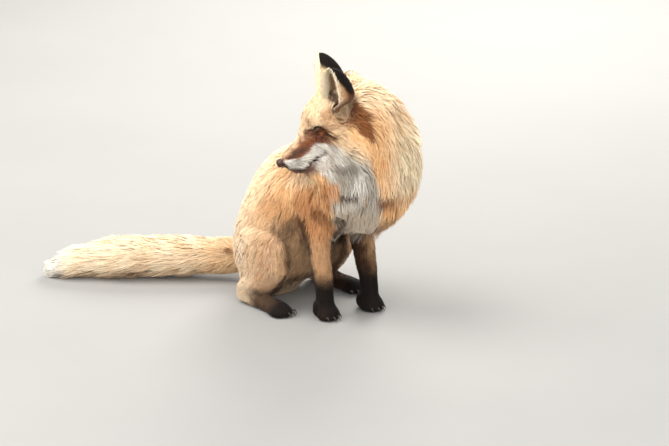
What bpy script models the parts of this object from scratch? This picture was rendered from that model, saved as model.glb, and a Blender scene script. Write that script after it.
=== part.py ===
"""A red fox sitting on its haunches, its head turned back over its right side, at life size.

Run it with: blender --background --python part.py

The frame: +X is the way the chest faces, +Y is the fox's left, +Z is up, in metres. The origin is on the
floor, in the middle of what the fox sits on. Every solid is the outside of the coat, out to the tips of
the hair. The body is lofted piece by piece, fused into one form, flattened where it rests on the floor,
and parted by thin cuts into the parts that a person would name.
"""

import math

import bmesh
import bpy
import numpy as np
from mathutils import Matrix, Vector

# --- Sizes of the whole animal, metres -----------------------------------------------------------
GAP = 0.0003  # clearance left between neighbouring parts
VOXEL = 0.0034  # grain at which the forms are fused
BODY_TRIANGLES = 4000  # what the fused body is thinned to
FACE_FROM = -0.125  # the face and the feet keep finer triangles than the rest
FINENESS, FINE_WEIGHT = 0.7, 0.2  # how strongly they keep them
HEAD_PROUD = 0.0030  # how far the region that takes the head out of the body stands proud of the head
ACROSS_BODY, ACROSS_HEAD, ACROSS_TAIL = (0, 1, 0), (0, -1, 0), (0.707, -0.707, 0)

# --- The head: a frame of its own, with its origin at the tip of the nose --------------------------
NOSE_TIP = Vector((0.090, -0.136, 0.317))
HEAD_YAW = math.radians(-124)  # turned back over the right shoulder
HEAD_PITCH = math.radians(26)  # nose below the ears
EYE_AT = Vector((-0.1015, 0.0325, 0.0290))
EYE_RADIUS = 0.0105
MOUTH_FRONT = Vector((-0.004, 0, -0.0120))
MOUTH_CORNER = Vector((-0.084, 0, -0.0230))
JAW_DEPTH = 0.070
EAR_BASE = Vector((-0.138, 0.043, 0.058))
EAR_TIP = Vector((-0.1662, 0.056, 0.1345))
EAR_FACING = Vector((0.93, 0.35, 0.10))
EAR_HALF_WIDTH = 0.0275
EAR_CUP = 0.047
EAR_WALL = 0.0037
EAR_RIM = 0.88
EAR_RINGS = (-0.24, -0.10, 0.04, 0.18, 0.34, 0.50, 0.66, 0.80, 0.90, 0.96)  # shares of the ear's length
EAR_GAP = 0.0008  # clearance left round an ear
# Soft dents and swellings of the face: middle, radius and push, for the left side and mirrored.
FACE_FEATURES = {
    "eye socket": ((-0.100, 0.0400, 0.0285), 0.0110, (0.0010, -0.0065, 0.0000)),
    "brow": ((-0.105, 0.0320, 0.0470), 0.0120, (0.0000, 0.0015, 0.0035)),
    "hollow under the eye": ((-0.074, 0.0260, 0.0060), 0.0130, (0.0000, -0.0022, 0.0000)),
    "stop": ((-0.070, 0.0000, 0.0370), 0.0130, (0.0000, 0.0000, -0.0020)),
    "upper lip": ((-0.024, 0.0150, -0.0100), 0.0100, (0.0005, 0.0016, 0.0000)),
    "furrow of the forehead": ((-0.112, 0.0000, 0.0700), 0.0160, (0.0000, 0.0000, -0.0012)),
}

# --- Stations of each form: x, y, z of the middle, half width, height above and depth below --------
TRUNK = [
    (-0.060, 0.0, 0.040, 0.074, 0.060, 0.060),
    (-0.038, 0.0, 0.095, 0.094, 0.088, 0.090),
    (-0.010, 0.0, 0.165, 0.093, 0.092, 0.095),
    (0.028, 0.0, 0.228, 0.092, 0.088, 0.102),
    (0.074, 0.0, 0.272, 0.090, 0.070, 0.102),
    (0.118, 0.0, 0.304, 0.080, 0.060, 0.085),
]
CHEST = [
    (0.130, 0.014, 0.192, 0.080, 0.050, 0.050),
    (0.138, 0.016, 0.235, 0.103, 0.080, 0.078),
    (0.145, 0.016, 0.300, 0.102, 0.095, 0.080),
]
NECK = [
    (0.136, 0.014, 0.212, 0.098, 0.086, 0.085),
    (0.158, 0.024, 0.264, 0.120, 0.105, 0.100),
    (0.168, 0.022, 0.330, 0.117, 0.105, 0.105),
    (0.178, 0.006, 0.392, 0.094, 0.090, 0.085),
    (0.166, -0.006, 0.432, 0.066, 0.066, 0.058),
]
NAPE = [
    (0.150, 0.030, 0.370, 0.070, 0.070, 0.060),
    (0.138, 0.014, 0.430, 0.055, 0.055, 0.050),
]
HEAD = [
    (-0.006, 0, 0.000, 0.0105, 0.0095, 0.0150),
    (-0.016, 0, 0.000, 0.0140, 0.0110, 0.0275),
    (-0.030, 0, 0.000, 0.0170, 0.0155, 0.0400),
    (-0.050, 0, 0.000, 0.0205, 0.0235, 0.0405),
    (-0.068, 0, 0.000, 0.0280, 0.0385, 0.0400),
    (-0.088, 0, 0.002, 0.0420, 0.0560, 0.0460),
    (-0.110, 0, 0.004, 0.0560, 0.0740, 0.0540),
    (-0.138, 0, 0.004, 0.0640, 0.0860, 0.0600),
    (-0.162, 0, 0.004, 0.0600, 0.0740, 0.0600),
]
NOSE = [
    (0.0020, 0, 0.0015, 0.0060, 0.0050, 0.0050),
    (-0.0030, 0, 0.0010, 0.0098, 0.0082, 0.0080),
    (-0.0110, 0, 0.0010, 0.0095, 0.0080, 0.0070),
]
TAIL = [
    (-0.085, 0.012, 0.065, 0.034, 0.032, 0.032),
    (-0.145, 0.004, 0.052, 0.036, 0.034, 0.038),
    (-0.2115, -0.047, 0.045, 0.045, 0.042, 0.046),
    (-0.280, -0.115, 0.044, 0.047, 0.044, 0.046),
    (-0.350, -0.181, 0.038, 0.041, 0.038, 0.040),
    (-0.400, -0.232, 0.026, 0.026, 0.022, 0.028),
    (-0.432, -0.268, 0.014, 0.012, 0.010, 0.016),
]
# A hind leg, for the left side: the right one is its mirror image.
THIGH = [
    (-0.055, 0.052, 0.085, 0.045, 0.070, 0.070),
    (-0.012, 0.068, 0.100, 0.045, 0.080, 0.080),
    (0.024, 0.078, 0.108, 0.038, 0.062, 0.064),
    (0.046, 0.082, 0.110, 0.026, 0.038, 0.042),
]
SHANK = [
    (0.042, 0.083, 0.100, 0.026, 0.032, 0.032),
    (0.002, 0.090, 0.060, 0.025, 0.030, 0.030),
    (-0.042, 0.092, 0.030, 0.020, 0.020, 0.020),
]
HIND_FOOT = [
    (-0.050, 0.092, 0.018, 0.017, 0.018, 0.020),
    (0.010, 0.095, 0.015, 0.017, 0.017, 0.018),
    (0.055, 0.098, 0.013, 0.021, 0.014, 0.016),
    (0.072, 0.100, 0.010, 0.018, 0.011, 0.012),
]
# Forelegs: elbow, and the tip of the paw on the floor. The left one stands a little ahead.
ELBOW = {"right": Vector((0.108, -0.051, 0.200)), "left": Vector((0.112, 0.058, 0.200))}
PAW_TIP = {"right": Vector((0.165, -0.050, 0)), "left": Vector((0.186, 0.048, 0))}
PAW_LENGTH, PAW_WIDTH, PAW_HEIGHT = 0.055, 0.0235, 0.030
WRIST_BEHIND_TIP, WRIST_HEIGHT = 0.036, 0.068
HEEL_BEHIND_TIP, HEEL_HEIGHT = 0.032, 0.028
HIND_PAW_TIP = Vector((0.088, 0.100, 0))
TOE_RADIUS, TOE_LENGTH, TOE_SPACING = 0.0085, 0.026, 0.0109
TOES = [(-1.5, 0.72), (-0.5, 1.0), (0.5, 1.0), (1.5, 0.72)]  # place across the paw and reach forward
# Each form: its stations, the way across it, how far its ends bulge, and its roundness (2 is an ellipse).
FORMS = {
    "trunk": (TRUNK, ACROSS_BODY, (0.048, 0.030), 2.3),
    "chest": (CHEST, ACROSS_BODY, (0.030, 0.040), 2.0),
    "neck": (NECK, ACROSS_BODY, (0.030, 0.030), 2.0),
    "nape": (NAPE, ACROSS_BODY, (0.030, 0.045), 2.0),
    "head": (HEAD, ACROSS_HEAD, (0.003, 0.030), 2.15),
    "nose": (NOSE, ACROSS_HEAD, (0.0015, 0.001), 2.0),
    "tail": (TAIL, ACROSS_TAIL, (0.020, 0.010), 2.0),
    "thigh": (THIGH, ACROSS_BODY, (0.030, 0.014), 2.0),
    "shank": (SHANK, ACROSS_BODY, (0.010, 0.012), 2.0),
    "hind_foot": (HIND_FOOT, ACROSS_BODY, (0.010, 0.008), 2.0),
}

# --- Where the body is divided into its named parts ------------------------------------------------
WITHERS = Vector((0.120, 0, 0.262))
NECK_SLOPE = math.radians(37)
TAIL_ROOT = Vector((-0.118, 0, 0))
TAIL_SLANT = math.radians(-8)
TAIL_TIP_FROM = Vector((-0.350, -0.181, 0))
TAIL_TIP_SLANT = math.radians(42)
HAUNCH_OUTLINE = [
    (-0.104, 0.0343),
    (0.070, 0.0343),
    (0.098, 0.070),
    (0.104, 0.110),
    (0.085, 0.150),
    (0.035, 0.182),
    (-0.020, 0.192),
    (-0.070, 0.170),
    (-0.106, 0.120),
]
HAUNCH_INNER = 0.045
FOOT_INNER, FOOT_OUTER, FOOT_TOP = 0.062, 0.150, 0.034
FOOT_BACK, FOOT_FRONT = -0.090, 0.130
PAW_REACH, WRIST_TOP = 0.072, 0.040
ELBOW_TOP, ELBOW_LEAN = 0.178, 0.030
LEG_INNER, LEG_OUTER = 0.010, 0.120
BEYOND = 0.30  # far enough to be outside the body
SIDES = {"left": 1, "right": -1}
SEAT = Vector((-0.0526, 0, 0))  # the middle of the flat under the rump: the finished part's origin

# --- Surfaces: colour and roughness --------------------------------------------------------------------
SURFACES = {
    "trunk": ((0.62, 0.31, 0.12), 0.95),
    "neck": ((0.66, 0.36, 0.15), 0.95),
    "head": ((0.58, 0.28, 0.11), 0.95),
    "jaw": ((0.62, 0.58, 0.52), 0.95),
    "nose": ((0.020, 0.014, 0.011), 0.40),
    "eye": ((0.35, 0.16, 0.03), 0.15),
    "ear": ((0.035, 0.026, 0.022), 0.90),
    "foreleg": ((0.42, 0.20, 0.08), 0.95),
    "forepaw": ((0.030, 0.022, 0.018), 0.90),
    "hind_leg": ((0.58, 0.36, 0.19), 0.95),
    "hind_foot": ((0.10, 0.055, 0.030), 0.90),
    "tail": ((0.60, 0.38, 0.20), 0.95),
    "tail_tip": ((0.80, 0.74, 0.66), 0.95),
}


def head_frame():
    """Matrix from the head's own axes (forward to the nose, left, up) to the world's."""
    turn = Matrix.Rotation(HEAD_YAW, 4, "Z") @ Matrix.Rotation(HEAD_PITCH, 4, "Y")
    return Matrix.Translation(NOSE_TIP) @ turn


def mirrored(stations, side):
    """The stations on the left for side 1, and on the right for side -1."""
    return [(x, side * y, *rest) for x, y, *rest in stations]


# --- Meshes ---------------------------------------------------------------------------------------
def mesh_object(name, vertices, faces, place=None, grow=0.0):
    """A new object with its faces pointing out, and its vertices moved out by grow."""
    mesh = bpy.data.meshes.new(name)
    mesh.from_pydata([tuple(v) for v in vertices], [], faces)
    if place is not None:
        mesh.transform(place)
    work = bmesh.new()
    work.from_mesh(mesh)
    bmesh.ops.recalc_face_normals(work, faces=work.faces)
    work.normal_update()
    for vert, normal in [(vert, vert.normal.copy()) for vert in work.verts]:
        vert.co += normal * grow
    work.to_mesh(mesh)
    work.free()
    obj = bpy.data.objects.new(name, mesh)
    bpy.context.scene.collection.objects.link(obj)
    return obj


def rings_closed(count, around):
    """Triangles of a tube of rings, with a pole after the last ring's points at each end."""
    faces = []
    for i in range(count - 1):
        for j in range(around):
            k = (j + 1) % around
            faces.append((i * around + j, i * around + k, (i + 1) * around + k))
            faces.append((i * around + j, (i + 1) * around + k, (i + 1) * around + j))
    first, last = count * around, count * around + 1
    for j in range(around):
        k = (j + 1) % around
        faces.append((first, k, j))
        faces.append((last, (count - 1) * around + j, (count - 1) * around + k))
    return faces


def eased(rows, steps):
    """Catmull-Rom curve through the rows, with the given number of steps between two rows."""
    rows = np.asarray(rows, float)
    ends = np.vstack([2 * rows[0] - rows[1], rows, 2 * rows[-1] - rows[-2]])
    t = (np.arange(steps) / steps)[:, None]
    spans = []
    for a, b, c, d in zip(ends, ends[1:], ends[2:], ends[3:]):
        cubic = (2 * a - 5 * b + 4 * c - d) * t**2 + (3 * b - a - 3 * c + d) * t**3
        spans.append(0.5 * (2 * b + (c - a) * t + cubic))
    return np.vstack(spans + [rows[-1:]])


def domed(rows, depth, rings):
    """The rows with shrinking ones added at both ends, which dome the loft, and its two poles."""
    angles = (np.arange(1, rings + 1) / (rings + 1)) * math.pi / 2
    made = []
    for end, inner, reach in ((rows[0], rows[1], depth[0]), (rows[-1], rows[-2], depth[1])):
        out = end[:3] - inner[:3]
        out = out / np.linalg.norm(out)
        cap = [(*(end[:3] + out * reach * math.sin(a)), *(end[3:] * math.cos(a))) for a in angles]
        made.append((np.array(cap), end[:3] + out * reach))
    (start, start_pole), (finish, finish_pole) = made
    return np.vstack([start[::-1], rows, finish]), (start_pole, finish_pole)


def loft(
    name, stations, side, dome, grow=0.0, around=26, between=5, rings=3, roundness=2.0, place=None
):
    """A closed body through the stations. grow adds to every size, for a region that takes a part out."""
    rows = eased(stations, between)
    rows[:, 3:] = np.maximum(rows[:, 3:], 0.0015) + grow
    rows, poles = domed(rows, [reach + grow for reach in dome], rings)
    centre = rows[:, :3]
    tangent = np.gradient(centre, axis=0)
    tangent /= np.linalg.norm(tangent, axis=1)[:, None]
    side = np.asarray(side, float)
    across = side - tangent * (tangent @ side)[:, None]
    across /= np.linalg.norm(across, axis=1)[:, None]
    above = np.cross(tangent, across)
    angle = np.arange(around) * 2 * math.pi / around
    x = np.sign(np.cos(angle)) * np.abs(np.cos(angle)) ** (2 / roundness)
    y = np.sign(np.sin(angle)) * np.abs(np.sin(angle)) ** (2 / roundness)
    height = np.where(y[None, :] > 0, rows[:, 4:5], rows[:, 5:6])
    points = centre[:, None] + across[:, None] * (rows[:, 3:4] * x)[..., None]
    points = points + above[:, None] * (height * y)[..., None]
    vertices = np.vstack([points.reshape(-1, 3), *[pole[None] for pole in poles]])
    return mesh_object(name, vertices, rings_closed(len(rows), around), place)


# --- Forms -------------------------------------------------------------------------------------------
def form(name, side=1, **how):
    """One of FORMS. side is 1 for the left and -1 for the right."""
    stations, across, dome, roundness = FORMS[name]
    place = head_frame() if across == ACROSS_HEAD else None
    return loft(name, mirrored(stations, side), across, dome, roundness=roundness, place=place, **how)


def nose_form(grow=0.0):
    return form("nose", grow=grow, around=16, between=2, rings=2)


def foreleg_form(which):
    elbow, tip = ELBOW[which], PAW_TIP[which]
    shoulder = elbow + Vector((-0.005, 0, 0.075))
    wrist = tip + Vector((-WRIST_BEHIND_TIP, 0, WRIST_HEIGHT))
    heel = tip + Vector((-HEEL_BEHIND_TIP, 0, HEEL_HEIGHT))
    stations = [
        (*shoulder, 0.034, 0.050, 0.050),
        (*elbow, 0.029, 0.040, 0.044),
        (*((elbow + wrist) / 2), 0.0220, 0.026, 0.030),
        (*wrist, 0.0180, 0.020, 0.021),
        (*heel, 0.0165, 0.018, 0.018),
    ]
    return loft("foreleg", stations, ACROSS_BODY, (0.030, 0.012))


def forepaw_form(which):
    x, y, _ = PAW_TIP[which]
    height, width = PAW_HEIGHT, PAW_WIDTH
    stations = [
        (x - PAW_LENGTH, y, height * 0.52, width * 0.70, height * 0.62, height * 0.60),
        (x - PAW_LENGTH * 0.45, y, height * 0.50, width * 0.88, height * 0.60, height * 0.60),
        (x - PAW_LENGTH * 0.20, y, height * 0.36, width * 0.72, height * 0.42, height * 0.50),
    ]
    return loft("forepaw", stations, ACROSS_BODY, (0.006, PAW_LENGTH * 0.12))


def toe_forms(tip):
    """Four toes side by side, the middle two ahead."""
    made = []
    for place, reach in TOES:
        y = tip.y + place * TOE_SPACING
        front = tip.x - (1 - reach) * TOE_LENGTH - TOE_RADIUS * 0.6
        stations = [
            (front - TOE_LENGTH, y, TOE_RADIUS * 1.25, TOE_RADIUS, TOE_RADIUS, TOE_RADIUS * 1.3),
            (front - TOE_LENGTH * 0.4, y, TOE_RADIUS * 1.10, TOE_RADIUS, TOE_RADIUS, TOE_RADIUS * 1.2),
            (front, y, TOE_RADIUS * 0.75, TOE_RADIUS * 0.85, TOE_RADIUS * 0.75, TOE_RADIUS * 0.9),
        ]
        made.append(loft("toe", stations, ACROSS_BODY, (0.004, TOE_RADIUS * 0.6), around=14, between=2))
    return made


def ear_form(which, side, grow=0.0):
    """A cupped leaf. Its section is a crescent: the back of the ear outside, the hollow inside."""
    base, tip, facing = (Vector((v.x, v.y * side, v.z)) for v in (EAR_BASE, EAR_TIP, EAR_FACING))
    axis = (tip - base).normalized()
    length = (tip - base).length
    facing = (facing - axis * facing.dot(axis)).normalized()
    across = axis.cross(facing)
    turns = np.linspace(-math.pi / 2, math.pi / 2, 9)
    vertices = []
    for share in EAR_RINGS:
        up = max(share, 0.0)
        root = 1 - min(up / 0.3, 1.0)
        width = EAR_HALF_WIDTH * (1 - 0.10 * root**2) * (1 - up**2.6) ** 0.62
        cup = EAR_CUP * (1 - up**2) ** 0.6 * (1 - 0.45 * root**2) + 0.002
        wall = EAR_WALL * (2 - up)
        hollow = max((cup - wall) * min(up / 0.18, 1.0), 0.001)
        centre = base + axis * (length * share)
        for reach, depth, order in ((width, cup, turns), (width * EAR_RIM, hollow, turns[::-1])):
            for a in order:
                vertices.append(centre + across * reach * math.sin(a) - facing * depth * math.cos(a))
    around = 2 * len(turns)
    vertices += [base - axis * (length * 0.30) - facing * 0.008, tip - facing * 0.006]
    return mesh_object("ear_form", vertices, rings_closed(len(EAR_RINGS), around), head_frame(), grow)


def box_form(low, high, place, lean=0.0):
    """A box from its corners in a frame. Its top leans down by lean at the low end of x."""
    (x0, y0, z0), (x1, y1, z1) = low, high
    corners = [(x, y, z) for x in (x0, x1) for y in (y0, y1) for z in (z0, z1)]
    corners = [(x, y, z - lean * (x == x0) * (z == z1)) for x, y, z in corners]
    faces = [(0, 1, 3, 2), (4, 6, 7, 5), (0, 4, 5, 1), (2, 3, 7, 6), (0, 2, 6, 4), (1, 5, 7, 3)]
    return mesh_object("box_form", corners, faces, place)


# --- Fusing and parting -----------------------------------------------------------------------------
def settled(obj):
    """The object with its modifiers made real."""
    graph = bpy.context.evaluated_depsgraph_get()
    mesh = bpy.data.meshes.new_from_object(obj.evaluated_get(graph))
    obj.modifiers.clear()
    obj.data = mesh
    return obj


def joined(name, objects):
    """One object that holds all the objects' meshes."""
    work = bmesh.new()
    for obj in objects:
        work.from_mesh(obj.data)
        bpy.data.objects.remove(obj)
    mesh = bpy.data.meshes.new(name)
    work.to_mesh(mesh)
    work.free()
    obj = bpy.data.objects.new(name, mesh)
    bpy.context.scene.collection.objects.link(obj)
    return obj


def combine(obj, other, operation):
    """obj with the other cut from it, kept of it or joined to it. The other is then removed."""
    step = obj.modifiers.new(operation, "BOOLEAN")
    step.operation = operation
    step.object = other
    step.solver = "EXACT"
    settled(obj)
    bpy.data.objects.remove(other)
    return largest_only(obj)


def largest_only(obj):
    """Drops the crumbs that a cut can leave, and keeps the body with the most faces."""
    work = bmesh.new()
    work.from_mesh(obj.data)
    left, islands = set(work.verts), []
    while left:
        todo, island = [left.pop()], []
        while todo:
            vert = todo.pop()
            island.append(vert)
            for edge in vert.link_edges:
                other = edge.other_vert(vert)
                if other in left:
                    left.discard(other)
                    todo.append(other)
        islands.append(island)
    islands.sort(key=len)
    bmesh.ops.delete(work, geom=[vert for island in islands[:-1] for vert in island], context="VERTS")
    work.to_mesh(obj.data)
    work.free()
    return obj


def take_out(body, name, region):
    """Parts the body: what lies in region(grow) becomes a new object, with GAP left round it."""
    piece = bpy.data.objects.new(name, body.data.copy())
    bpy.context.scene.collection.objects.link(piece)
    combine(piece, region(0.0), "INTERSECT")
    combine(body, region(GAP), "DIFFERENCE")
    return piece


def face_shaped(mesh):
    """Presses the soft dents and swellings of the face into the mesh."""
    frame = head_frame()
    inverse = frame.inverted()
    for vert in mesh.vertices:
        local = inverse @ vert.co
        if local.x < -0.2 or abs(local.y) > 0.08:
            continue
        for middle, radius, push in FACE_FEATURES.values():
            for side in (1, -1) if middle[1] else (1,):
                away = local - Vector((middle[0], middle[1] * side, middle[2]))
                weight = math.exp(-away.length_squared / (2 * radius * radius))
                local += Vector((push[0], push[1] * side, push[2])) * weight
        vert.co = frame @ local


def on_floor(obj):
    """Cuts off what reaches under the floor, which leaves the flats that the fox rests on."""
    work = bmesh.new()
    work.from_mesh(obj.data)
    everything = list(work.verts) + list(work.edges) + list(work.faces)
    floor = {"plane_co": (0, 0, 0), "plane_no": (0, 0, 1)}
    cut = bmesh.ops.bisect_plane(work, geom=everything, clear_inner=True, **floor)
    rim = [part for part in cut["geom_cut"] if isinstance(part, bmesh.types.BMEdge)]
    bmesh.ops.holes_fill(work, edges=rim)
    bmesh.ops.triangulate(work, faces=work.faces)
    work.to_mesh(obj.data)
    work.free()
    return obj


def fused_body():
    """All the forms of flesh and coat as one body, thinned and flat where it rests."""
    made = [form(name) for name in ("trunk", "chest", "neck", "nape", "head", "tail")]
    for which, side in SIDES.items():
        made += [foreleg_form(which), forepaw_form(which), *toe_forms(PAW_TIP[which])]
        made += [form(name, side) for name in ("thigh", "shank", "hind_foot")]
        made += toe_forms(Vector((HIND_PAW_TIP.x, side * HIND_PAW_TIP.y, 0)))
    body = joined("trunk", made)
    remesh = body.modifiers.new("fuse", "REMESH")
    remesh.mode = "VOXEL"
    remesh.voxel_size = VOXEL
    smooth = body.modifiers.new("soften", "SMOOTH")
    smooth.factor = 0.5
    smooth.iterations = 4
    settled(body)
    face_shaped(body.data)
    fine = body.vertex_groups.new(name="fine")
    to_head = head_frame().inverted()
    for vert in body.data.vertices:
        local = to_head @ vert.co
        in_face = FACE_FROM < local.x < 0.02 and abs(local.y) < 0.06 and abs(local.z) < 0.06
        in_paw = vert.co.z < FOOT_TOP and vert.co.x > 0.03
        fine.add([vert.index], FINENESS if in_face or in_paw else 0.0, "REPLACE")
    thin = body.modifiers.new("thin", "DECIMATE")
    thin.ratio = BODY_TRIANGLES / (2 * len(body.data.polygons))
    thin.vertex_group = fine.name
    thin.invert_vertex_group = True
    thin.vertex_group_factor = FINE_WEIGHT
    settled(body)
    return on_floor(body)


def eye_form(side, grow=0.0):
    """The eyeball."""
    work = bmesh.new()
    bmesh.ops.create_uvsphere(work, u_segments=12, v_segments=7, radius=EYE_RADIUS + grow)
    mesh = bpy.data.meshes.new("eye_form")
    work.to_mesh(mesh)
    work.free()
    at = Vector((EYE_AT.x, EYE_AT.y * side, EYE_AT.z))
    mesh.transform(head_frame() @ Matrix.Translation(at))
    obj = bpy.data.objects.new("eye_form", mesh)
    bpy.context.scene.collection.objects.link(obj)
    return obj


# --- Regions that take the parts out, each grown by the given amount ---------------------------------
def prism(outline, y0, y1, grow):
    """A solid from an outline of x and z, drawn anticlockwise, that runs from y0 to y1."""
    middle = Vector((sum(x for x, _ in outline), sum(z for _, z in outline))) / len(outline)
    spread = [Vector(p) + (Vector(p) - middle).normalized() * grow for p in outline]
    vertices = [(x, y, z) for y in (y0 - grow, y1 + grow) for x, z in spread]
    count = len(outline)
    faces = [tuple(range(count)), tuple(range(2 * count - 1, count - 1, -1))]
    faces += [(i, (i + 1) % count, (i + 1) % count + count, i + count) for i in range(count)]
    return mesh_object("prism", vertices, faces)


def head_region(grow):
    return form("head", grow=HEAD_PROUD + grow, around=16, between=1, rings=1)


def jaw_region(grow):
    low = (MOUTH_CORNER.x - grow, -JAW_DEPTH, -JAW_DEPTH)
    high = (0.010, JAW_DEPTH, MOUTH_FRONT.z + grow)
    return box_form(low, high, head_frame(), lean=MOUTH_FRONT.z - MOUTH_CORNER.z)


def neck_region(grow):
    """Everything above a slope from the withers down to the front of the chest."""
    slope = Matrix.Translation(WITHERS) @ Matrix.Rotation(NECK_SLOPE, 4, "Y")
    return box_form((-BEYOND, -BEYOND, -grow), (BEYOND, BEYOND, BEYOND), slope)


def tail_region(grow):
    """Everything behind a slant across the root of the tail."""
    slant = Matrix.Translation(TAIL_ROOT) @ Matrix.Rotation(TAIL_SLANT, 4, "Z")
    return box_form((-2 * BEYOND, -BEYOND, -BEYOND), (grow, BEYOND, BEYOND), slant)


def tail_tip_region(grow):
    slant = Matrix.Translation(TAIL_TIP_FROM) @ Matrix.Rotation(TAIL_TIP_SLANT, 4, "Z")
    return box_form((-BEYOND, -BEYOND, -BEYOND), (grow, BEYOND, BEYOND), slant)


def hind_foot_region(side, grow):
    y = sorted((side * FOOT_INNER, side * FOOT_OUTER))
    low = (FOOT_BACK - grow, y[0] - grow, -FOOT_TOP)
    return box_form(low, (FOOT_FRONT, y[1] + grow, FOOT_TOP + grow), None)


def hind_leg_region(side, grow):
    y = sorted((side * HAUNCH_INNER, side * FOOT_OUTER))
    return prism(HAUNCH_OUTLINE, y[0], y[1], grow)


def forepaw_region(which, grow):
    x, y, _ = PAW_TIP[which]
    low = (x - PAW_REACH - grow, y - PAW_REACH / 2 - grow, -WRIST_TOP)
    return box_form(low, (x + 0.02, y + PAW_REACH / 2 + grow, WRIST_TOP + grow), None)


def foreleg_region(which, grow):
    """From the wrist up to a slant under the elbow, on one side of the body's middle."""
    elbow, wrist = ELBOW[which].x, PAW_TIP[which].x - WRIST_BEHIND_TIP
    y = sorted((SIDES[which] * LEG_INNER, SIDES[which] * LEG_OUTER))
    outline = [
        (wrist - 0.032, WRIST_TOP + GAP),
        (wrist + 0.036, WRIST_TOP + GAP),
        (elbow + 0.060, ELBOW_TOP),
        (elbow - 0.042, ELBOW_TOP - ELBOW_LEAN),
    ]
    return prism(outline, y[0], y[1], grow)


# --- The parts ------------------------------------------------------------------------------------------
def coloured(obj, colour, roughness):
    """Gives the part its own plain material."""
    material = bpy.data.materials.new(obj.name)
    material.use_nodes = True
    shader = material.node_tree.nodes["Principled BSDF"]
    shader.inputs["Base Color"].default_value = (*colour, 1)
    shader.inputs["Roughness"].default_value = roughness
    obj.data.materials.clear()
    obj.data.materials.append(material)
    obj.data.shade_smooth()


def main():
    for obj in list(bpy.data.objects):
        bpy.data.objects.remove(obj)
    body = fused_body()
    parts = {}
    for which, side in SIDES.items():
        parts[f"ear_{which}"] = ear_form(which, side)
        combine(body, ear_form(which, side, EAR_GAP), "DIFFERENCE")
    head = parts["head"] = take_out(body, "head", head_region)
    parts["nose"] = nose_form()
    combine(head, nose_form(grow=GAP), "DIFFERENCE")
    for which, side in SIDES.items():
        parts[f"eye_{which}"] = eye_form(side)
        combine(head, eye_form(side, GAP), "DIFFERENCE")
    parts["jaw"] = take_out(head, "jaw", jaw_region)
    parts["neck"] = take_out(body, "neck", neck_region)
    parts["tail"] = take_out(body, "tail", tail_region)
    parts["tail_tip"] = take_out(parts["tail"], "tail_tip", tail_tip_region)
    for which, side in SIDES.items():
        parts[f"hind_foot_{which}"] = take_out(body, "hind_foot", lambda grow: hind_foot_region(side, grow))
        parts[f"hind_leg_{which}"] = take_out(body, "hind_leg", lambda grow: hind_leg_region(side, grow))
        parts[f"forepaw_{which}"] = take_out(body, "forepaw", lambda grow: forepaw_region(which, grow))
        parts[f"foreleg_{which}"] = take_out(body, "foreleg", lambda grow: foreleg_region(which, grow))
    parts["trunk"] = body
    for name, obj in parts.items():
        obj.name = name
        obj.data.transform(Matrix.Translation(-SEAT))
        coloured(obj, *SURFACES[name.removesuffix("_left").removesuffix("_right")])


if __name__ == "__main__":
    main()
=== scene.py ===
"""The sitting red fox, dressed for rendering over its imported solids.

One skin stands for all the nodes of flesh and lies inside them by the depth of the coat. The coat is
thin tapered tufts, joined into a few meshes. Skin and coat take their colours from one function of place.
Lengths are in metres, and the axes are the part's: +X is the way the chest faces, +Y is the fox's left.
The head has axes of its own: forward to the nose, left and up, from the tip of the nose.
"""

import itertools
import math

import bmesh
import bpy
import numpy as np
from bpy.props import FloatProperty, FloatVectorProperty, IntProperty, PointerProperty
from mathutils import Matrix, Vector


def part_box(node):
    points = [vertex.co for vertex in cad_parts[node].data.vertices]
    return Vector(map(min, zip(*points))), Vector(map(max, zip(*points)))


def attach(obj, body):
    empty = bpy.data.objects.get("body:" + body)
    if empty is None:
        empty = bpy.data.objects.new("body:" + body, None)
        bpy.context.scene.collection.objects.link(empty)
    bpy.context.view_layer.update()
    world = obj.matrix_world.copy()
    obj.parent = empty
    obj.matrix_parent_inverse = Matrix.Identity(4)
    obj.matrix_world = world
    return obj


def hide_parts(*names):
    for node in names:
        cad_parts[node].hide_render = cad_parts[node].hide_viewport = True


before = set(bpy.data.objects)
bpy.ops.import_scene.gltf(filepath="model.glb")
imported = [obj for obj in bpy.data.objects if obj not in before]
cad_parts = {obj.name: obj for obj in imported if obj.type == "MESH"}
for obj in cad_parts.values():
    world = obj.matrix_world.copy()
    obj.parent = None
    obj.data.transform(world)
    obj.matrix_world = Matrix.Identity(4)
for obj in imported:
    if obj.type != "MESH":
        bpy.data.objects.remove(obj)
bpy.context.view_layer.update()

bl_info = {
    "name": "Sitting red fox",
    "version": (1, 0, 0),
    "blender": (4, 5, 0),
    "location": "3D View > Sidebar > Fox",
    "description": "Skin, coat, eyes, ears and stage of a life-size model of a red fox",
    "category": "Object",
}

MM = 0.001
SIDES = {"left": 1, "right": -1}
LEFTWARD, UP = np.array((0, 1.0, 0)), np.array((0, 0, 1.0))

# --- The head's own axes --------------------------------------------------------------------------
NOSE_TIP = np.array((0.1426, -0.136, 0.317))
HEAD_YAW, HEAD_PITCH = math.radians(-124), math.radians(26)
HEAD_TURN = np.array(Matrix.Rotation(HEAD_YAW, 3, "Z") @ Matrix.Rotation(HEAD_PITCH, 3, "Y"))
EYE_AT = np.array((-0.0992, 0.0325, 0.0292))
EYE_GAZE = np.array((0.42, 0.86, 0.40))
EYE_RADIUS = 0.0105
SLIT_HALF, SLIT_ARCH = 0.0092, 0.0040  # half the length of the slit between the lids, and its rise
FAR = 9  # distance from the slit, in its own measure, of all that isn't by the eye

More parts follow.
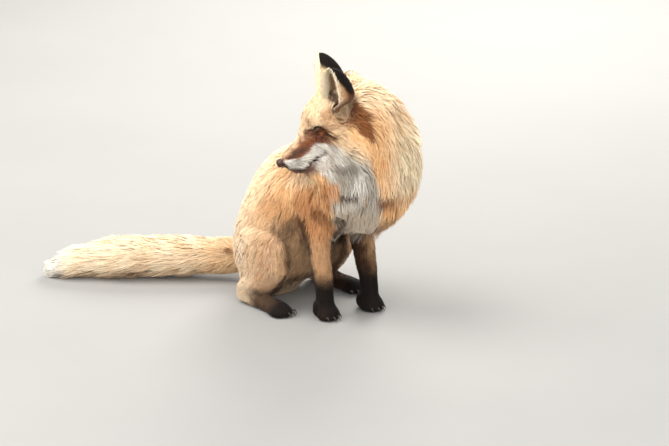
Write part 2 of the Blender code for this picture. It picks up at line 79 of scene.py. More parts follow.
# --- The coat: place and reach of each patch of it, its lie, its depth and the length of its hair ----
# Rows are x, y, z, reach, lie x, y, z, depth, hair, all lengths in millimetres. A row with y above 0 is
# mirrored to the other side, unless its region is in ONE_SIDED.
HEAD_COAT = [
    (-10, 0, 11, 8, -1, 0, 0.2, 1.2, 3.5),
    (-34, 0, 16, 11, -1, 0, 0.15, 1.8, 5),
    (-60, 0, 32, 12, -1, 0, 0.4, 2.6, 7),
    (-92, 0, 58, 15, -1, 0, 0.55, 4.5, 10),
    (-125, 0, 84, 16, -1, 0, 0.1, 7, 15),
    (-160, 0, 72, 20, -1, 0, -0.4, 13, 24),
    (-14, 12, -3, 8, -1, 0.1, -0.1, 1.2, 3.5),
    (-30, 17, -3, 10, -1, 0.2, -0.1, 1.6, 5),
    (-50, 20, 4, 11, -1, 0.25, 0, 2.2, 6.5),
    (-74, 29, 10, 12, -1, 0.5, -0.2, 2.8, 8),
    (-98, 46, 2, 13, -1, 0.6, -0.35, 4.5, 12),
    (-122, 60, -12, 15, -0.9, 0.6, -0.5, 9, 22),
    (-145, 66, -30, 18, -0.8, 0.5, -0.8, 16, 36),
    (-122, 54, 34, 13, -1, 0.35, -0.1, 5.5, 12),
    (-128, 60, 12, 14, -1, 0.5, -0.25, 7, 17),
    (-96, 42, 35, 8, -1, 0.4, 0, 2.4, 4.5),
    (-98, 35, 47, 11, -1, 0.25, 0.45, 3.2, 8),
    (-146, 48, 62, 14, -0.9, 0.3, 0.3, 6, 14),
    (-139, 24, 74, 9, -0.8, -0.5, 0.2, 4.5, 7),
    (-148, 22, 66, 8, -0.6, -0.7, 0.2, 5, 6),
    (-172, 60, 32, 17, -0.8, 0.3, -0.6, 10, 26),
    (-176, 40, 52, 16, -0.9, 0.2, -0.5, 6, 20),
    (-20, 9, -20, 9, -1, 0.1, -0.1, 1.2, 4),
    (-28, 0, -38, 10, -1, 0, -0.2, 0.7, 4),
    (-38, 12, -30, 12, -1, 0.1, -0.1, 0.9, 4.5),
    (-44, 17, -16, 12, -1, 0.1, -0.1, 1.8, 5.5),
    (-56, 12, -38, 14, -1, 0.1, -0.15, 1.2, 6),
    (-64, 22, -20, 13, -1, 0.25, -0.15, 2.4, 7.5),
    (-80, 32, -14, 13, -1, 0.4, -0.25, 3.2, 10),
    (-84, 34, -36, 14, -0.9, 0.3, -0.55, 6, 17),
    (-100, 0, -52, 16, -0.8, 0, -0.8, 10, 25),
]
BODY_COAT = {
    "back": [
        (112, 0, 350, 45, -0.6, 0, -0.8, 22, 42),
        (25, 0, 282, 45, -0.5, 0, -0.87, 19, 38),
        (-35, 0, 205, 45, -0.35, 0, -0.94, 17, 36),
        (-82, 0, 110, 40, -0.2, 0, -0.98, 16, 34),
        (-60, 0, 20, 40, -0.9, 0, -0.4, 10, 24),
        (60, 85, 235, 50, -0.42, 0, -0.91, 17, 37),
        (110, 80, 180, 36, -0.45, 0, -0.9, 15, 32),
        (162, 88, 262, 42, -0.12, 0, -1, 16, 35),
        (90, 0, 150, 45, -0.8, 0, -0.6, 12, 28),
    ],
    "haunch": [
        (0, 118, 140, 42, -0.25, 0.05, -0.97, 14, 31),
        (-40, 105, 60, 36, -0.4, 0.1, -0.9, 13, 29),
        (60, 112, 120, 34, -0.2, 0, -0.98, 11, 26),
        (112, 100, 115, 24, -0.15, 0, -1, 7, 18),
        (70, 50, 90, 25, -0.2, 0, -1, 7, 18),
        (60, 100, 60, 20, -0.7, 0, -0.7, 5, 13),
        (0, 100, 25, 18, -0.5, 0, -0.8, 4, 10),
    ],
    "hind_foot": [
        (62, 98, 22, 17, 1, 0, -0.15, 2.6, 8),
        (100, 99, 14, 14, 1, 0, -0.2, 1.8, 6),
        (130, 100, 9, 12, 1, 0, -0.3, 1.2, 4),
    ],
    "foreleg": [
        (158, 58, 215, 26, 0, 0, -1, 11, 27),
        (142, 55, 175, 20, -0.25, 0, -1, 8, 21),
        (180, 53, 160, 18, 0.1, 0, -1, 6, 16),
        (184, 52, 115, 18, 0.1, 0, -1, 3.8, 11),
        (192, 50, 70, 16, 0.1, 0, -1, 2.6, 8),
    ],
    "forepaw": [
        (185, 50, 32, 14, 0.6, 0, -0.8, 1.8, 6),
        (210, 50, 22, 12, 1, 0, -0.5, 1.4, 5),
        (228, 50, 10, 12, 1, 0, -0.4, 1.1, 4),
    ],
    "tail": [
        (-55, 8, 68, 28, -1, -0.05, -0.1, 11, 28),
        (-95, 2, 52, 28, -0.95, -0.3, -0.05, 18, 42),
        (-159, -47, 46, 30, -0.74, -0.67, 0, 26, 58),
        (-227, -115, 44, 32, -0.72, -0.69, 0, 28, 64),
        (-297, -181, 38, 28, -0.70, -0.71, -0.04, 23, 60),
    ],
    "tail_tip": [
        (-347, -232, 27, 20, -0.67, -0.74, -0.15, 12, 36),
        (-374, -260, 18, 13, -0.67, -0.74, -0.15, 5, 15),
    ],
    "ruff": [
        (310, 20, 405, 38, 0.45, 0.15, -0.88, 26, 50),
        (326, 25, 335, 42, 0.12, 0.05, -1, 33, 60),
        (315, 20, 260, 38, -0.08, 0, -1, 31, 58),
        (268, 8, 190, 34, -0.5, 0, -0.87, 25, 50),
        (205, 14, 150, 30, -0.7, 0, -0.7, 16, 40),
        (215, 140, 325, 45, -0.1, 0.2, -1, 33, 58),
        (225, 95, 415, 38, 0.05, 0.5, -0.85, 27, 50),
        (200, 125, 235, 38, -0.2, -0.1, -1, 26, 50),
        (232, -92, 325, 34, 0.15, -0.1, -1, 26, 46),
        (205, -88, 245, 32, 0.02, 0.05, -1, 22, 44),
        (285, -60, 390, 26, 0.45, 0.3, -0.85, 20, 42),
        (260, -10, 465, 28, 0.55, 0.5, -0.65, 20, 42),
        (150, 40, 425, 38, -0.45, 0.2, -0.87, 25, 46),
        (112, 35, 372, 36, -0.55, 0.1, -0.83, 24, 46),
        (200, 20, 498, 30, 0.1, 0.75, -0.5, 20, 40),
    ],
}
ONE_SIDED = ("tail", "tail_tip", "ruff")
FLESH = [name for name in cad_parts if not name.startswith(("eye", "ear", "nose"))]
REGION_SLOTS = {
    "head": "coat_head",
    "ruff": "coat_ruff",
    "back": "coat_body",
    "haunch": "coat_haunch",
    "hind_foot": "coat_hind_foot",
    "foreleg": "coat_foreleg",
    "forepaw": "coat_stocking",
    "tail": "coat_tail",
    "tail_tip": "coat_tail_tip",
}

# --- The ears: cupped leaves, as in the solids ------------------------------------------------------
EAR_BASE = np.array((-0.138, 0.043, 0.058))
EAR_TIP = np.array((-0.1662, 0.056, 0.1345))
EAR_FACING = np.array((0.93, 0.35, 0.10))
EAR_HALF_WIDTH, EAR_CUP, EAR_WALL = 0.0270, 0.047, 0.0022

# --- Places of the markings and of the painted light and shade ----------------------------------------
# Lines along the side of the muzzle, in the head's axes, as rows of x and z: the mouth, the top of the
# white and the top of the brown.
MOUTH_LINE = [
    (-0.088, -0.0130),
    (-0.073, -0.0200),
    (-0.061, -0.0240),
    (-0.051, -0.0290),
    (-0.044, -0.0315),
    (-0.035, -0.0325),
    (-0.027, -0.0285),
    (-0.020, -0.0240),
    (-0.015, -0.0180),
    (-0.010, -0.0120),
]
WHITE_TOP = [
    (-0.143, -0.056),
    (-0.127, -0.032),
    (-0.115, -0.012),
    (-0.107, -0.005),
    (-0.099, 0.002),
    (-0.088, 0.008),
    (-0.077, 0.0075),
    (-0.069, 0.003),
    (-0.058, -0.004),
    (-0.048, -0.007),
    (-0.038, -0.006),
    (-0.028, -0.002),
    (-0.017, 0.001),
]
BROWN_TOP = [
    (-0.105, 0.032),
    (-0.086, 0.0345),
    (-0.070, 0.0275),
    (-0.050, 0.018),
    (-0.033, 0.012),
    (-0.020, 0.009),
]
# The pale bib, from the jaw down the turned throat to the brisket, in the part's axes: x, y, z and half
# width.
BIB = [
    (0.205, -0.088, 0.335, 0.020),
    (0.232, -0.086, 0.330, 0.030),
    (0.262, -0.078, 0.318, 0.040),
    (0.276, -0.066, 0.290, 0.046),
    (0.276, -0.058, 0.255, 0.048),
    (0.268, -0.046, 0.222, 0.046),
    (0.250, -0.026, 0.190, 0.042),
    (0.215, 0.000, 0.165, 0.038),
    (0.130, 0.000, 0.150, 0.036),
]
# Patches of colour: name, middle, reach along each axis and strength. Those of the bib are in the part's
# axes, and the others in the head's, on both sides alike.
BIB_PATCHES = [
    ("tear", (0.251, -0.085, 0.317), (0.022, 0.020, 0.012), 0.60),
    ("tear", (0.304, -0.042, 0.304), (0.014, 0.016, 0.010), 0.55),
    ("white", (0.282, -0.066, 0.282), (0.026, 0.026, 0.011), 0.60),
    # Painted shade: brown across the fold between the bib's white tufts.
    ("tear", (0.262, -0.078, 0.268), (0.017, 0.024, 0.010), 0.95),
    ("tear", (0.276, -0.068, 0.264), (0.016, 0.022, 0.009), 0.95),
    ("temple", (0.290, -0.050, 0.262), (0.014, 0.020, 0.008), 0.80),
    ("white", (0.250, -0.076, 0.240), (0.014, 0.016, 0.012), 0.60),
    ("orange", (0.244, -0.086, 0.275), (0.016, 0.020, 0.026), 0.85),
    ("muzzle", (0.306, -0.014, 0.250), (0.020, 0.022, 0.020), 0.90),
    ("rust", (0.311, 0.004, 0.250), (0.019, 0.021, 0.019), 0.85),
    ("rust", (0.315, 0.020, 0.260), (0.015, 0.015, 0.017), 0.60),
    ("orange", (0.305, 0.016, 0.236), (0.022, 0.024, 0.018), 0.60),
    ("rust", (0.268, 0.014, 0.176), (0.026, 0.024, 0.014), 0.60),
]
CROWN_PATCHES = [
    ("temple", (-0.128, 0.056, 0.040), (0.034, 0.022, 0.024), 0.80),
    ("temple", (-0.124, 0.047, 0.057), (0.020, 0.018, 0.018), 1.00),
    ("muzzle", (-0.086, 0.014, 0.050), (0.024, 0.020, 0.016), 0.28),
    ("orange", (-0.156, 0.060, 0.034), (0.020, 0.020, 0.028), 1.00),
    ("rust", (-0.156, 0.058, 0.040), (0.020, 0.022, 0.028), 0.50),
]
BROW_PATCHES = [
    ("temple", (-0.088, 0.030, 0.048), (0.018, 0.014, 0.012), 0.40),
]
TEAR_PATCHES = [
    ("tear", (-0.038, 0.018, 0.005), (0.022, 0.014, 0.0085), 0.90),
    ("tear", (-0.055, 0.022, 0.006), (0.014, 0.012, 0.008), 0.60),
]
CHEEK_PATCHES = [
    ("muzzle", (-0.090, 0.042, 0.014), (0.014, 0.012, 0.0045), 0.80),
    ("grey", (-0.099, 0.050, -0.003), (0.012, 0.010, 0.0045), 1.00),
    ("tear", (-0.094, 0.055, -0.034), (0.016, 0.016, 0.007), 0.50),
]
# The rust streak behind each ear, in the head's axes: x, y, z and half width.
RUST_PATH = [
    (-0.166, 0.040, 0.072, 0.010),
    (-0.170, 0.046, 0.058, 0.017),
    (-0.175, 0.056, 0.042, 0.022),
    (-0.178, 0.068, 0.022, 0.022),
    (-0.177, 0.078, -0.002, 0.015),
    (-0.176, 0.082, -0.018, 0.010),
]
# The foot of the ear's opening, between the hair of the crown and the ear's front edge, in the same way:
# painted shade where the opening goes in.
EAR_OPENING_SHADE = [
    (-0.151, 0.016, 0.082, 0.0050),
    (-0.149, 0.020, 0.070, 0.0065),
    (-0.143, 0.030, 0.054, 0.0050),
]
CHIN = tuple(HEAD_TURN @ (-0.032, 0, -0.036) + NOSE_TIP)
# Where the skin lies deeper than the coat's depth, or less deep: middle, reach and how much deeper.
SLIMMER = [
    ((0.296, 0.062, 0.408), (0.070, 0.075, 0.060), 0.012),
    ((0.234, -0.058, 0.196), (0.026, 0.028, 0.034), 0.014),
    (CHIN, (0.030, 0.030, 0.020), -0.0032),
]
# The dark line of the eye: the upper lid's dark rim, widened by painted shadow under the brow. In the head's
# axes: x, y, z and half width.
EYE_LINE_AND_BROW_SHADOW = [
    (-0.0755, 0.026, 0.0312, 0.0024),
    (-0.0845, 0.033, 0.0343, 0.0036),
    (-0.0937, 0.040, 0.0352, 0.0044),
    (-0.1027, 0.046, 0.0310, 0.0048),
    (-0.1097, 0.053, 0.0212, 0.0048),
    (-0.1167, 0.058, 0.0085, 0.0036),
]


def linear(code):
    """The scene's linear colour for an sRGB hex value."""
    parts = [int(code[i : i + 2], 16) / 255 for i in (1, 3, 5)]
    return tuple(p / 12.92 if p <= 0.04045 else ((p + 0.055) / 1.055) ** 2.4 for p in parts)


# --- What a user may change ---------------------------------------------------------------------------
def size_setting(name, description, default):
    return FloatProperty(name=name, description=description, default=default, min=0, unit="LENGTH")


def colour_setting(name, description, code):
    return FloatVectorProperty(
        name=name, description=description, default=linear(code), size=3, min=0, max=1, subtype="COLOR"
    )


class FoxSizes(bpy.types.PropertyGroup):
    """Sizes of the skin and the coat."""

    skin_grain: size_setting("Skin grain", "Length of a face of the skin", 0.0026)
    tuft_width: size_setting("Tuft width", "Width of a tuft of body hair at its widest", 0.0019)
    fine_width: size_setting("Fine tuft width", "Width of a tuft on the face and the feet", 0.0010)
    whisker_length: size_setting("Whisker length", "Length of the longest whiskers", 0.062)
    claw_length: size_setting("Claw length", "Length of a front claw beyond the fur", 0.009)
    tufts: IntProperty(name="Tufts", description="Tufts of hair on the whole skin", default=176000, min=1000)


class FoxColours(bpy.types.PropertyGroup):
    """Colours of the coat, by where they are on a fox."""

    gold: colour_setting("Gold", "Back, flanks and ruff", "#F4C48D")
    # Pale gold is painted rim light along the top of the back and the outer ruff.
    pale: colour_setting("Pale gold", "Top of the back and the outer ruff", "#FDECCD")
    orange: colour_setting("Orange", "Shoulders and upper forelegs", "#C88F60")
    rust: colour_setting("Rust", "Behind the ears and at the elbows", "#7C4724")
    tan: colour_setting("Tan", "Haunches", "#E0CAAC")
    white: colour_setting("White", "Lips, cheeks, throat and bib", "#F1EBE0")
    bib_tan: colour_setting("Bib tan", "Lower part of the bib", "#C9B7A0")
    grey: colour_setting("Grey", "Mottling of the throat and bib", "#9C9486")
    bridge: colour_setting("Bridge", "Top of the muzzle", "#E8C6A0")
    forehead: colour_setting("Forehead", "Forehead and crown", "#F8DDB6")
    temple: colour_setting("Temple", "Between the eye and the ear", "#CDA57D")
    muzzle: colour_setting("Muzzle", "Sides of the muzzle", "#8E563A")
    # The tear mark's brown and the dark brown also serve as painted shade: in the bib's fold, under the chin,
    # at the foot of the ears' openings, deep in their hollows, beside the bib and between and under the legs.
    tear: colour_setting("Tear mark", "From the eye towards the whiskers", "#5E463A")
    dark: colour_setting("Dark brown", "Between the legs and round the eyes", "#38241A")
    black: colour_setting("Black", "Backs of the ears and stockings", "#1D1613")
    brush: colour_setting("Brush", "Upper side of the tail", "#FBE8C9")
    brush_base: colour_setting("Brush base", "Root and underside of the tail", "#D4AC7E")
    iris: colour_setting("Iris", "Iris of the eye", "#5A3216")
    nose: colour_setting("Nose", "Skin of the nose", "#3C2215")
    ear_lining: colour_setting("Ear lining", "Hair inside the ears", "#FAEBCF")


# --- Arrays -----------------------------------------------------------------------------------------
def unit(vectors):
    """Each vector divided by its length."""
    return vectors / np.maximum(np.linalg.norm(vectors, axis=-1, keepdims=True), 1e-9)


def ramp(value, low, high):
    """Rises smoothly from 0 at low to 1 at high."""
    t = np.clip((value - low) / (high - low), 0, 1)
    return t * t * (3 - 2 * t)


def to_head(points):
    return (points - NOSE_TIP) @ HEAD_TURN


def from_head(points):
    return points @ HEAD_TURN.T + NOSE_TIP


def folded(points):
    """The points with both sides of the animal laid on its left one."""
    return points * (1, 0, 1) + np.abs(points) * (0, 1, 0)


def line_at(x, line):
    """The height at x of a line given as rows of x and z."""
    return np.interp(x, *np.transpose(line))


def eye_axes(side):
    """The eye's gaze, its way forward along the slit and its way up, in the head's axes."""
    gaze = unit(EYE_GAZE * (1, side, 1))
    forward = np.array((1.0, 0.0, 0.42))
    forward = unit(forward - gaze * (forward @ gaze))
    up = np.cross(forward, gaze)
    return gaze, forward, up * np.sign(up[2])


def slit_distance(head, side):
    """Distance from the arched slit between the lids, as a share of an ellipse of 10 by 3.6 mm round it,
    for points in the head's axes. It is FAR away from the eye."""
    away = head - EYE_AT * (1, side, 1)
    gaze, forward, up = eye_axes(side)
    way = unit(away) * EYE_RADIUS
    along = way @ forward
    above = way @ up - SLIT_ARCH * (1 - np.minimum((along / SLIT_HALF) ** 2, 1))
    near = (way @ gaze > 0) & (np.linalg.norm(away, axis=1) < 0.022)
    return np.where(near, np.hypot(along / 0.0100, above / 0.0036), FAR)


def blob(points, middle, reach):
    """1 at the middle, falling smoothly to 0 at the reach along each axis."""
    away = (points - np.asarray(middle)) / np.asarray(reach)
    return 1 - ramp(np.linalg.norm(away, axis=1), 0.45, 1.0)


def waves(points, size, seed, count=10):
    """Soft noise of about -1 to 1: the sum of plane sine waves about size long in all directions."""
    rng = np.random.default_rng(seed)
    turn = unit(rng.normal(size=(count, 3))) * (2 * math.pi / size) * rng.uniform(0.6, 1.5, (count, 1))
    start = rng.uniform(0, 2 * math.pi, count)
    return np.sin(points @ turn.T + start).sum(1) / math.sqrt(count)


def coat_rows():
    """The coat's rows in the part's axes and metres, mirrored where they have two sides, and regions."""
    rows, regions = [], []
    tables = {"head": HEAD_COAT, **BODY_COAT}
    for index, (region, table) in enumerate(tables.items()):
        for row in table:
            both = row[1] > 0 and region not in ONE_SIDED
            for side in (1, -1) if both else (1,):
                place = np.array((row[0], row[1] * side, row[2])) * MM
                lie = np.array((row[4], row[5] * side, row[6]), float)
                if region == "head":
                    place, lie = from_head(place), HEAD_TURN @ lie
                rows.append((*place, row[3] * MM, *unit(lie), row[7] * MM, row[8] * MM))
                regions.append(index)
    return np.array(rows), np.array(regions), list(tables)


COAT_ROWS, COAT_REGIONS, REGION_NAMES = coat_rows()


def coat_at(points):
    """Lie, depth, hair length and region of the coat at the points, and the head's share in them: the mean
    of the rows of the table, each weighted by a bell curve of its distance over its reach."""
    made = []
    fields = np.column_stack((COAT_ROWS[:, 4:9], COAT_REGIONS == 0))
    for block in np.array_split(points, max(1, len(points) // 40000)):
        away = ((block[:, None] - COAT_ROWS[None, :, :3]) ** 2).sum(2)
        weight = np.exp(-away / (2 * COAT_ROWS[:, 3] ** 2)) + 1e-12
        region = COAT_REGIONS[weight.argmax(1)]
        made.append(np.column_stack(((weight @ fields) / weight.sum(1)[:, None], region)))
    found = np.vstack(made)
    return unit(found[:, :3]), found[:, 3], found[:, 4], found[:, 6].astype(int), found[:, 5]


# --- Markings and painted light and shade -------------------------------------------------------------
def along_path(points, path):
    """Distance from the points to a path, over the path's half width at the nearest place."""
    best = np.full(len(points), np.inf)
    for start, end in zip(np.array(path[:-1]), np.array(path[1:])):
        run = end[:3] - start[:3]
        t = np.clip(((points - start[:3]) @ run) / (run @ run), 0, 1)
        near = start[:3] + t[:, None] * run
        width = start[3] + t * (end[3] - start[3])
        best = np.minimum(best, np.linalg.norm(points - near, axis=1) / width)
    return best


class Markings:
    """The coat's linear colours at the points: the gold of the body, with each marking and each patch of
    painted light and shade laid over it in turn as a smooth mask of place. Soft noise bends the edges, and
    scatter frays them hair by hair."""

    def __init__(self, points, colours, scatter, seed):
        rng = np.random.default_rng(seed)
        self.colours = colours
        self.face = ramp(coat_at(points)[4], 0.3, 0.7)
        bend = np.column_stack([waves(points, 0.022, 31 + axis) for axis in range(3)]) * 0.0022
        self.points = points + bend + rng.normal(size=points.shape) * scatter
        self.both = folded(self.points)
        self.flat = folded(to_head(self.points))
        self.mottle = waves(self.points, 0.030, 7)
        self.fine = waves(self.points, 0.011, 8)
        self.tone = np.tile(np.array(colours.gold), (len(points), 1))

    def lay(self, name, mask):
        self.tone += (np.array(getattr(self.colours, name)) - self.tone) * np.clip(mask, 0, 1)[:, None]

    def mark(self, name, mask):
        """Lays a marking on the head alone."""
        self.lay(name, mask * self.face)

    def patches(self, table):
        for name, middle, reach, share in table:
            self.mark(name, blob(self.flat, middle, reach) * share)

    def back_and_shoulders(self):
        """Pale gold painted rim light on the back and the ruff's rim, orange and rust over the shoulders."""
        x, y, z = self.points.T
        lay, points, both = self.lay, self.points, self.both
        # Painted rim light: pale gold along the top of the back, over the top of the ruff and along its front
        # edge.
        lay("pale", ramp(-0.85 * x + 0.5 * z, 0.020, 0.125) * ramp(x, 0.24, 0.12) * 0.9)
        lay("pale", blob(points, (0.225, 0.03, 0.47), (0.13, 0.13, 0.11)) * 0.75)
        lay("pale", ramp(x + 0.55 * y, 0.285, 0.335) * ramp(z, 0.22, 0.28) * 0.9)
        # Painted light: a pale patch on the flank under the muzzle, where the head's shadow falls.
        lay("pale", blob(points, (0.152, -0.090, 0.276), (0.048, 0.045, 0.030)) * 0.5)
        lay("orange", blob(points, (0.095, -0.092, 0.205), (0.060, 0.050, 0.040)) * 0.5)
        lay("orange", blob(both, (0.172, 0.085, 0.228), (0.055, 0.060, 0.040)))
        lay("orange", blob(both, (0.222, 0.092, 0.262), (0.026, 0.040, 0.040)) * (y < 0))
        lay("rust", blob(both, (0.196, 0.080, 0.212), (0.034, 0.050, 0.030)) * (0.65 + 0.35 * self.mottle))
        lay("rust", ramp(z, 0.215, 0.180) * ramp(x, 0.085, 0.130) * ramp(x, 0.25, 0.22) * 0.9)

    def haunch(self):
        """Tan on the haunch, browner towards the knee."""
        x, _, z = self.points.T
        haunch = ramp(z, 0.205, 0.120) * ramp(x, 0.120, 0.085) * ramp(x, -0.11, -0.06)
        self.lay("tan", haunch * (0.95 + 0.2 * self.mottle))
        self.lay("temple", haunch * ramp(x, 0.010, 0.070) * (0.75 + 0.25 * self.fine))
        self.lay("muzzle", haunch * ramp(x, 0.040, 0.095) * 0.22)

    def belly_with_painted_shade(self):
        """Brown under the body between the thighs, with painted shade in the gaps beside them, on the far
        side and near the floor.
        """
        x, y, z = self.points.T
        across = self.both[:, 1]
        under = ramp(x, 0.050, 0.080) * ramp(z, 0.200, 0.170) * ramp(across, 0.092, 0.074)
        self.lay("temple", under * 0.9)
        self.lay("tear", under * 0.2)
        # Painted shade: dark in the gaps beside the thighs, on the far side and near the floor.
        self.lay("dark", under * ramp(across, 0.062, 0.070) * ramp(across, 0.090, 0.082) * 0.6)
        self.lay("dark", under * ramp(y, 0.0, 0.03) * (0.5 + 0.5 * ramp(z, 0.10, 0.12)))
        self.lay("dark", under * ramp(z, 0.075, 0.045) * 0.6)

    def legs(self):
        """Orange forelegs with black stockings, and dark hind feet. The legs are dark on the inside and at
        the back, partly dark fur and partly painted shade between them; the far leg has painted shade high up
        and painted light along its front edge.
        """
        x, y, z = self.points.T
        across = self.both[:, 1]
        leg = ramp(z, 0.215, 0.190) * ramp(x, 0.125, 0.140)
        inner = ramp(across, 0.048, 0.036) + ramp(x - 0.12 * (0.2 - z), 0.168, 0.152)
        self.lay("orange", leg)
        self.lay("temple", leg * ramp(z, 0.19, 0.13) * 0.7)
        # Partly dark fur and partly painted shade: dark on the inside and at the back of the legs.
        self.lay("dark", leg * inner * 0.9)
        # Painted shade: darker high up on the far leg.
        self.lay("dark", leg * ramp(y, 0.0, 0.02) * ramp(z, 0.190, 0.120) * 0.6)
        # Painted light: tan along the far leg's front edge.
        self.lay("temple", leg * (y > 0) * ramp(x + y, 0.243, 0.258) * ramp(z, 0.10, 0.14) * 0.8)
        self.lay("black", leg * ramp(z, 0.110, 0.060))
        foot = ramp(z, 0.050, 0.030) * ramp(across, 0.065, 0.075) * ramp(x, 0.02, 0.06)
        self.lay("dark", foot * 0.9)
        self.lay("black", foot * ramp(x, 0.085, 0.120))

    def brush(self):
        """A cream brush, browner at its root and underneath, with a white tip."""
        x, y, z = self.points.T
        tail = ramp(x, -0.062, -0.090)
        self.lay("brush", tail)
        self.lay("brush_base", tail * ramp(x, -0.200, -0.085) * 0.85)
        self.lay("brush_base", tail * ramp(z, 0.030, 0.004) * 0.5)
        self.lay("brush_base", tail * ramp(x, -0.30, -0.22) * (0.2 + 0.2 * self.mottle))
        self.lay("rust", blob(self.points, (-0.096, -0.038, 0.068), (0.014, 0.018, 0.016)) * 0.85)
        self.lay("white", ramp(-0.7 * x - 0.7 * y, 0.385, 0.420))

    def bib(self):
        """White and grey from the jaw to the brisket, tan low down, with painted shade in a brown fold across
        it and in dark hollows by the forelegs.
        """
        z = self.points[:, 2]
        bib = 1 - ramp(along_path(self.points, BIB) + 0.10 * self.mottle, 0.75, 1.20)
        self.lay("white", bib)
        self.lay("grey", bib * (0.65 + 0.35 * self.mottle) * ramp(z, 0.18, 0.26))
        self.lay("bib_tan", bib * ramp(z, 0.262, 0.225) * 0.85)
        # Painted shade: dark in the hollow beside the near foreleg and between the forelegs.
        self.lay("dark", blob(self.points, (0.234, -0.058, 0.194), (0.024, 0.026, 0.034)))
        self.lay("dark", blob(self.points, (0.216, -0.033, 0.158), (0.028, 0.030, 0.052)))
        for name, middle, reach, share in BIB_PATCHES:
            self.lay(name, blob(self.points, middle, reach) * share)

    def crown(self):
        """A cream forehead and crown, rust behind the ears and painted shade at the foot of their openings.
        """
        x, side, z = self.flat.T
        near = self.face * ramp(x, -0.185, -0.165)
        self.lay("forehead", near * ramp(z, 0.018, 0.035))
        self.lay("forehead", near * ramp(x, -0.10, -0.12) * 0.7)
        self.lay("rust", (1 - ramp(along_path(self.flat, RUST_PATH) + 0.12 * self.mottle, 0.7, 1.3)) * 0.95)
        self.patches(CROWN_PATCHES)
        # Painted shade at the foot of the ear's opening.
        slot = along_path(self.flat * (1, 0, 1), np.array(EAR_OPENING_SHADE) * (1, 0, 1, 1))
        self.mark("tear", (1 - ramp(slot, 0.8, 1.5)) * ramp(side, 0.008, 0.012) * 0.95)
        self.patches(BROW_PATCHES)

    def muzzle(self):
        """Brown sides with a tear mark, white lips and cheeks, a dark mouth, and a dark jaw that is partly
        dark lip and partly painted shade under the chin.
        """
        x, side, z = self.flat.T
        self.mark("bridge", ramp(x, -0.085, -0.060))
        brown = ramp(z - line_at(x, BROWN_TOP), 0.006, -0.006) * ramp(side, 0.004, 0.014)
        self.mark("muzzle", brown * ramp(x, -0.116, -0.098) * ramp(x, -0.014, -0.024))
        self.patches(TEAR_PATCHES)
        white = ramp(line_at(x, WHITE_TOP) - z, -0.0028, 0.0028) * ramp(x, -0.150, -0.135)
        self.mark("white", white)
        self.mark("grey", white * ramp(x, -0.095, -0.115) * (0.20 + 0.4 * self.mottle))
        self.patches(CHEEK_PATCHES)
        mouth = line_at(x, MOUTH_LINE)
        # The jaw's dark brown is partly dark lip and partly painted shade under the chin.
        jaw = ramp(mouth - z, 0.0005, 0.003) * ramp(x, -0.066, -0.056)
        self.mark("muzzle", jaw * 0.9)
        self.mark("tear", jaw * 0.4)
        self.mark("tear", (1 - ramp(np.abs(z - mouth), 0.0018, 0.0044)) * ramp(x, -0.094, -0.086) * 0.85)
        self.mark("dark", (1 - ramp(np.abs(z - mouth), 0.0008, 0.0025)) * ramp(x, -0.086, -0.078))

    def eye_line_and_brow_shadow(self):
        """The dark line of the upper lid, widened by painted shadow under the brow, which runs on behind the
        eye, over a brown shade.
        """
        shade = blob(self.flat, (-0.098, 0.042, 0.0270), (0.024, 0.022, 0.016))
        self.mark("muzzle", shade * ramp(self.flat[:, 2], 0.038, 0.033))
        # The dark line is the lid's dark rim widened by painted shadow under the brow.
        line = along_path(self.flat * (1, 0, 1), np.array(EYE_LINE_AND_BROW_SHADOW) * (1, 0, 1, 1))
        self.mark("rust", (1 - ramp(line, 0.5, 1.5)) * 0.85)
        self.mark("dark", (1 - ramp(line, 0.35, 1.15)) * 0.8)


def coat_colours(points, colours, scatter=0.0, seed=1):
    """The coat's linear colour at the points, with all its markings, its painted light and shade, and a
    little unevenness.
    """
    made = Markings(points, colours, scatter, seed)
    made.back_and_shoulders()
    made.haunch()
    made.belly_with_painted_shade()
    made.legs()
    made.brush()
    made.bib()
    made.crown()
    made.muzzle()
    made.eye_line_and_brow_shadow()
    return np.clip(made.tone * (1 + 0.05 * made.fine + 0.05 * made.mottle)[:, None], 0, 1)


# --- Meshes -----------------------------------------------------------------------------------------
def read(mesh):
    """Points, normals and triangles of a mesh, and its triangles' corners."""
    points = np.empty(len(mesh.vertices) * 3)
    mesh.vertices.foreach_get("co", points)
    normals = np.empty(len(mesh.vertices) * 3, np.float32)
    mesh.vertex_normals.foreach_get("vector", normals)
    mesh.calc_loop_triangles()
    triangles = np.empty(len(mesh.loop_triangles) * 3, np.int32)
    mesh.loop_triangles.foreach_get("vertices", triangles)
    corners = np.empty(len(mesh.loop_triangles) * 3, np.int32)
    mesh.loop_triangles.foreach_get("loops", corners)
    points, normals = points.reshape(-1, 3), normals.reshape(-1, 3).astype(float)
    return points, normals, triangles.reshape(-1, 3), corners.reshape(-1, 3)


def write(mesh, points):
    mesh.vertices.foreach_set("co", np.ascontiguousarray(points, np.float32).ravel())
    mesh.update()


def built(name, points, faces, material_name, slot):
    """A smooth piece from its points and its faces, given as one run of corners and the faces' sizes."""
    corners, sizes = faces
    mesh = bpy.data.meshes.new(name)
    mesh.vertices.add(len(points))
    mesh.vertices.foreach_set("co", np.ascontiguousarray(points, np.float32).ravel())
    mesh.loops.add(len(corners))
    mesh.loops.foreach_set("vertex_index", np.ascontiguousarray(corners, np.int32))
    mesh.polygons.add(len(sizes))
    starts = np.concatenate(([0], np.cumsum(sizes)[:-1]))
    mesh.polygons.foreach_set("loop_start", starts.astype(np.int32))
    mesh.update(calc_edges=True)
    mesh.shade_smooth()
    return placed(name, mesh, material_name)


def placed(name, mesh, material_name):
    """A piece that rides on the part, with its material."""
    obj = bpy.data.objects.new(name, mesh)
    bpy.context.scene.collection.objects.link(obj)
    mesh.materials.append(bpy.data.materials[material_name])
    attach(obj, "root")
    return obj


